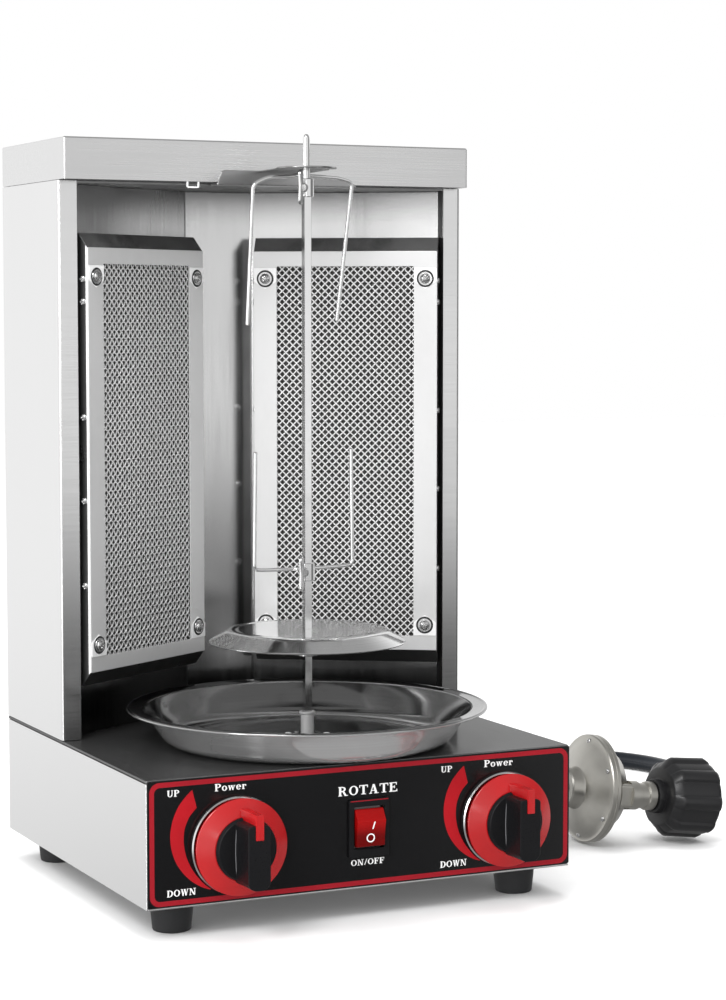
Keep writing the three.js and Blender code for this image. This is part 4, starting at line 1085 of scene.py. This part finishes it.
both = ("left", "right")
finish_node(CERAMIC, *[f"ceramic_tile_{side}" for side in both])
finish_node(DULL_STEEL, *[f"{part}_{side}" for part in ("burner_pan", "mixing_tube") for side in both],
            "ceiling_plate", "base_bottom", "gear_motor", "motor_bracket", "manifold_pipe")
finish_node(BRASS, *[f"valve_{part}_{side}" for part in ("stem", "plug", "body") for side in both])

# ---------------------------------------------------------------- spit, tray and plate
TO_SPIT = Matrix.Translation((SPIT_X, SPIT_Y, 0))
tray_profile = [
    (8.6, 105.2), (9.4, 106.4), (12.0, 105.4), (16.4, 102.9), (19, 102.5), (87.4, 102.5), (91.4, 103.2),
    (95.4, 105.2), (98.0, 108.4), (103.4, 117.2), (109.3, 123.8), (110.6, 124.7), (111.8, 124.8),
    (117.8, 125.0), (118.8, 125.5), (119.9, 125.8), (120.7, 125.4), (121.0, 124.7), (120.7, 124.0),
    (119.9, 123.6), (118.6, 123.8), (111.8, 123.4), (109.8, 122.6), (104.6, 116.4), (99.2, 107.8),
    (96.4, 104.2), (92.2, 101.8), (87.6, 101.3), (16, 101.3), (11.8, 103.8), (9.2, 104.8),
]
piece("tray_bowl", lathe(tray_profile, 160, True), TRAY_STEEL, "drip_tray", "tray",
      at=TO_SPIT, angle=60)
boss_screws = [shift(screw_head(2.5, 1.5), way * 11.7, SPIT_Y - way * 5.6, 105.0) for way in (-1, 1)]
piece("tray_boss_screws", join(*boss_screws), TAB_AND_EDGE_HIGHLIGHT_STEEL, body="tray")
plate_profile = [
    (3.0, 176.6), (46, 176.6), (47, 176.2), (49.4, 176.2), (50.4, 176.6), (53, 176.55), (55.4, 174.9),
    (65.4, 169.0), (65.9, 168.4), (65.3, 167.7), (64.6, 168.1), (54.6, 173.7), (52.6, 175.4), (7.2, 175.4),
    (7.2, 159.0), (6.8, 158.6), (3.0, 158.6),
]
piece("plate_dish", lathe(plate_profile, 128, True), PLATE_STEEL, "meat_plate", "plate",
      at=TO_SPIT, angle=40)
rod_square = prism(rounded([(-2.5, -2.5), (2.5, -2.5), (2.5, 2.5), (-2.5, 2.5)], 0.35, 2), 108.0, 472.0)
rod_round = lathe([(0, 471), (2.35, 471), (2.35, 501.4), (2.2, 503), (1.7, 504.3), (0.9, 505), (0, 505.2)],
                  32)
piece("spit_bar", join(rod_square, rod_round), BRIGHT_WIRE, "spit_rod", "spit", at=TO_SPIT)
socket_profile = [(0, 82), (3, 82), (3, 90.6), (4.3, 90.8), (4.5, 91.2), (4.5, 118.8), (5.4, 119.5),
                  (5.6, 119.9), (5.5, 120.8), (5.1, 121), (3.7, 121), (3.7, 108.2), (0, 108.2)]
piece("socket_sleeve", lathe(socket_profile, 64), FRAME_STEEL, "drive_socket", "spit",
      at=TO_SPIT)


def fork_shape(hub0, hub1, arch_z, shoulders, prong, lean, pinch):
    """A fork's arched wire with its hub, and the lug that joins them; both prongs hang or stand by prong."""
    half, back = 36.0, 5.3
    quarter, rise = half * 0.72, 0.7
    left, right = shoulders
    corners = [
        (-half + pinch + lean, back, left + prong), (-half, back, left),
        (-quarter, back, left + (arch_z - left) * rise), (0, back, arch_z),
        (quarter, back, right + (arch_z - right) * rise), (half, back, right),
        (half - pinch + lean, back, right + prong),
    ]
    wire = tube(rounded(corners, 4, 8, closed=False), 1.3, 14, domed=0.7)
    hub_profile = [(3.0, hub0), (4.7, hub0), (5.2, hub0 + 0.5), (5.2, hub1 - 0.5), (4.7, hub1), (3.0, hub1)]
    hub = lathe(hub_profile, 48, True)
    lug = block(-3, 3, 2.9, back + 0.2, min(arch_z, hub1) - 2.4, max(arch_z, hub1) + 0.4)
    return join(wire, hub), lug


def thumb_screw_shape(z, hub_radius, bearing, flat):
    """Drawn along -x from the bar: threaded shank, collar and two ears, upright unless laid flat."""
    reach = hub_radius + 0.3
    thread = []
    turns = int((reach + 1 - 4.2) * 4)
    for i in range(turns + 1):
        thread.append((1.5 if i % 2 == 0 else 1.3, -4.2 - (reach + 1 - 4.2) * i / turns))
    profile = [(0, -4.2)] + thread
    profile += [(3, -reach - 0.9), (3.05, -reach - 3.4), (2.6, -reach - 4), (0, -reach - 4)]
    body = across(lathe(profile, 40), z=z)
    ears = [(3.4, -2.6), (3.4, 2.6)] + arc((-1.6, 8.2), 3.4, 0.9, math.pi, 12)
    ears += [(-3.8, 0)] + arc((-1.6, -8.2), 3.4, math.pi, 2 * math.pi - 0.9, 12)
    wings = plate([ears], -1, 1, 0.55, 3)
    if not flat:
        wings = moved(wings, UPRIGHT)
    wings = shift(wings, x=-reach - 6.4, z=z)
    return moved(join(body, wings), TO_SPIT @ Matrix.Rotation(math.radians(bearing), 4, "Z"))


for fork, body, sizes in (
    ("upper_fork", "top_fork", (463.7, 476.0, 478.2, (471.8, 474.4), -92, -8, 3.5)),
    ("lower_fork", "bottom_fork", (209.0, 221.0, 216.5, (217.0, 217.8), 78, 0, 1)),
):
    wire, lug = fork_shape(*sizes)
    piece(f"{fork}_wire", wire, BRIGHT_WIRE, fork, body, at=TO_SPIT)
    piece(f"{fork}_lug", lug, BRIGHT_WIRE, body=body, at=TO_SPIT, bevel=0.4)
for name, z, hub_radius, bearing, flat, body, node in (
    ("upper_wing_screw", 469.85, 5.2, 50, False, "top_fork_thumb_screw", "upper_fork_screw"),
    ("lower_wing_screw", 215.0, 5.2, 50, False, "bottom_fork_thumb_screw", "lower_fork_screw"),
    ("plate_wing_screw", 162.8, 7.0, 0, True, "plate_thumb_screw", "plate_screw"),
):
    piece(name, thumb_screw_shape(z, hub_radius, bearing, flat), SCREW_STEEL, node, body)


# ---------------------------------------------------------------- rear fittings and fasteners
threaded = [(3.0, 145.8), (8.4, 145.8)]
for i in range(10):
    threaded += [(8.4, 146.6 + i * 0.72), (7.9, 146.95 + i * 0.72)]
threaded += [(8.4, 153.6), (3.0, 153.6)]
inlet_shape = join(
    lathe([(3, 126.3), (7.8, 126.3), (7.8, 139.4), (3, 139.4)], 48, True),
    prism(circle(12.4, 6), 139.3, 145.9),
    lathe(threaded, 48, True),
    prism(circle(11.4, 6), 153.5, 162),
    lathe([(3, 161.9), (7.4, 161.9), (7.4, 173.4), (5.6, 175.1), (3, 175.1)], 48, True),
)
piece("inlet_fitting", along_y(inlet_shape, INLET_X, 0, INLET_Z), BRASS, "gas_inlet",
      bevel=0.3)
gland_shape = join(
    lathe([(4, 130), (7.8, 130), (7.8, 139.4), (4, 139.4)], 48, True),
    lathe([(4, 139.3), (11.8, 139.3), (12, 139.7), (12, 143.2), (11.4, 143.8), (4, 143.8)], 6, True),
    lathe([(4, 143.7), (10.0, 143.7), (10.0, 150.8), (8.6, 152.6), (7.6, 153), (4.6, 153), (4, 152.4)],
          48, True),
    lathe([(7.9, 133), (12, 133), (12, 137), (7.9, 137)], 6, True),
    around(20, block(9.4, 10.6, -0.7, 0.7, 144.4, 150.6)),
)
piece("gland_fitting", along_y(gland_shape, -95, 0, 50), PLASTIC_BLACK, "cable_gland")

rear_screws = [on_back(shift(screw_head(3.2, 2.0), x, z), BASE_BACK)
               for x in (-143, 143) for z in (115, 235, 355, 462)]
piece("rear_panel_screws", join(*rear_screws), SCREW_STEEL)

# ---------------------------------------------------------------- stage
floor_verts, floor_faces = block(-6000, 6000, -6000, 6000, -40, 0)
floor_mesh = bpy.data.meshes.new("floor")
floor_mesh.from_pydata([v * MM for v in floor_verts], [], floor_faces)
floor = bpy.data.objects.new("floor", floor_mesh)
scene.collection.objects.link(floor)
floor_look = Shader("floor_paper")
paper = floor_look.spread(floor_look.noise(60.0, 4.0))
paper = floor_look.mix(paper, grey(0.9), grey(0.92))
floor_look.set(Base_Color=paper, Roughness=0.9, Specular_IOR_Level=0.1)
floor_mesh.materials.append(floor_look.material)
floor.visible_glossy = False

# The world is a soft white studio: bright to the sides and above, dark below the horizon in front.
world = bpy.data.worlds.new("studio")
scene.world = world
world.use_nodes = True
sky = Graph(world.node_tree)
background = world.node_tree.nodes["Background"]


def blend(factor, a, b):
    return sky.mix(factor, a, b, "FLOAT")


x, y, z = sky.split(sky.coordinates["Generated"])
front_light = blend(sky.ramp(z, -0.03, 0.06), sky.ramp(z, -0.155, -0.075, 0.05, 0.95), 0.79)
side_light = sky.ramp(z, -0.45, -0.1, 0.3, 1.0)
level_light = blend(sky.ramp(y, -0.78, -0.88), side_light, front_light)
front_right = sky.math("MULTIPLY", sky.ramp(x, 0.52, 0.7), sky.ramp(y, 0.05, -0.1))
mirrored_light = blend(sky.ramp(z, 0.25, 0.8), blend(front_right, level_light, 0.2), 0.35)
matt_light = blend(sky.ramp(z, 0.2, 0.8), sky.ramp(x, -0.35, 0.35, 1.7, 0.08), 1.3)
rays = sky.add("LightPath").outputs
strength = blend(rays["Is Camera Ray"], blend(rays["Is Diffuse Ray"], mirrored_light, matt_light), 1.0)
sky.put(background.inputs["Strength"], strength)
background.inputs["Color"].default_value = (1, 1, 1, 1)


def softbox(name, location, target, size, watts, mirrored=True):
    data = bpy.data.lights.new(name, "AREA")
    data.shape = "RECTANGLE"
    data.size, data.size_y = size
    data.energy = watts
    light = bpy.data.objects.new(name, data)
    light.location = location
    light.visible_glossy = mirrored
    light.rotation_euler = (Vector(target) - Vector(location)).to_track_quat("-Z", "Y").to_euler()
    scene.collection.objects.link(light)


softbox("key_light", (-1.5, -1.2, 1.9), (0, 0, 0.2), (0.9, 0.9), 26)
softbox("fill_light", (1.7, -1.4, 1.2), (0, 0, 0.25), (0.8, 1.2), 4, False)
softbox("top_light", (0.1, 0.2, 2.0), (0, 0, 0.2), (1.4, 1.0), 18, False)
softbox("near_light", (-0.84, -1.55, 0.44), (-0.09, -0.14, 0.06), (0.15, 0.15), 0.5)
softbox("edge_light", (-1.6, -0.75, 0.4), (0, 0, 0.3), (0.25, 1.6), 7)
scene.view_settings.view_transform = "Standard"
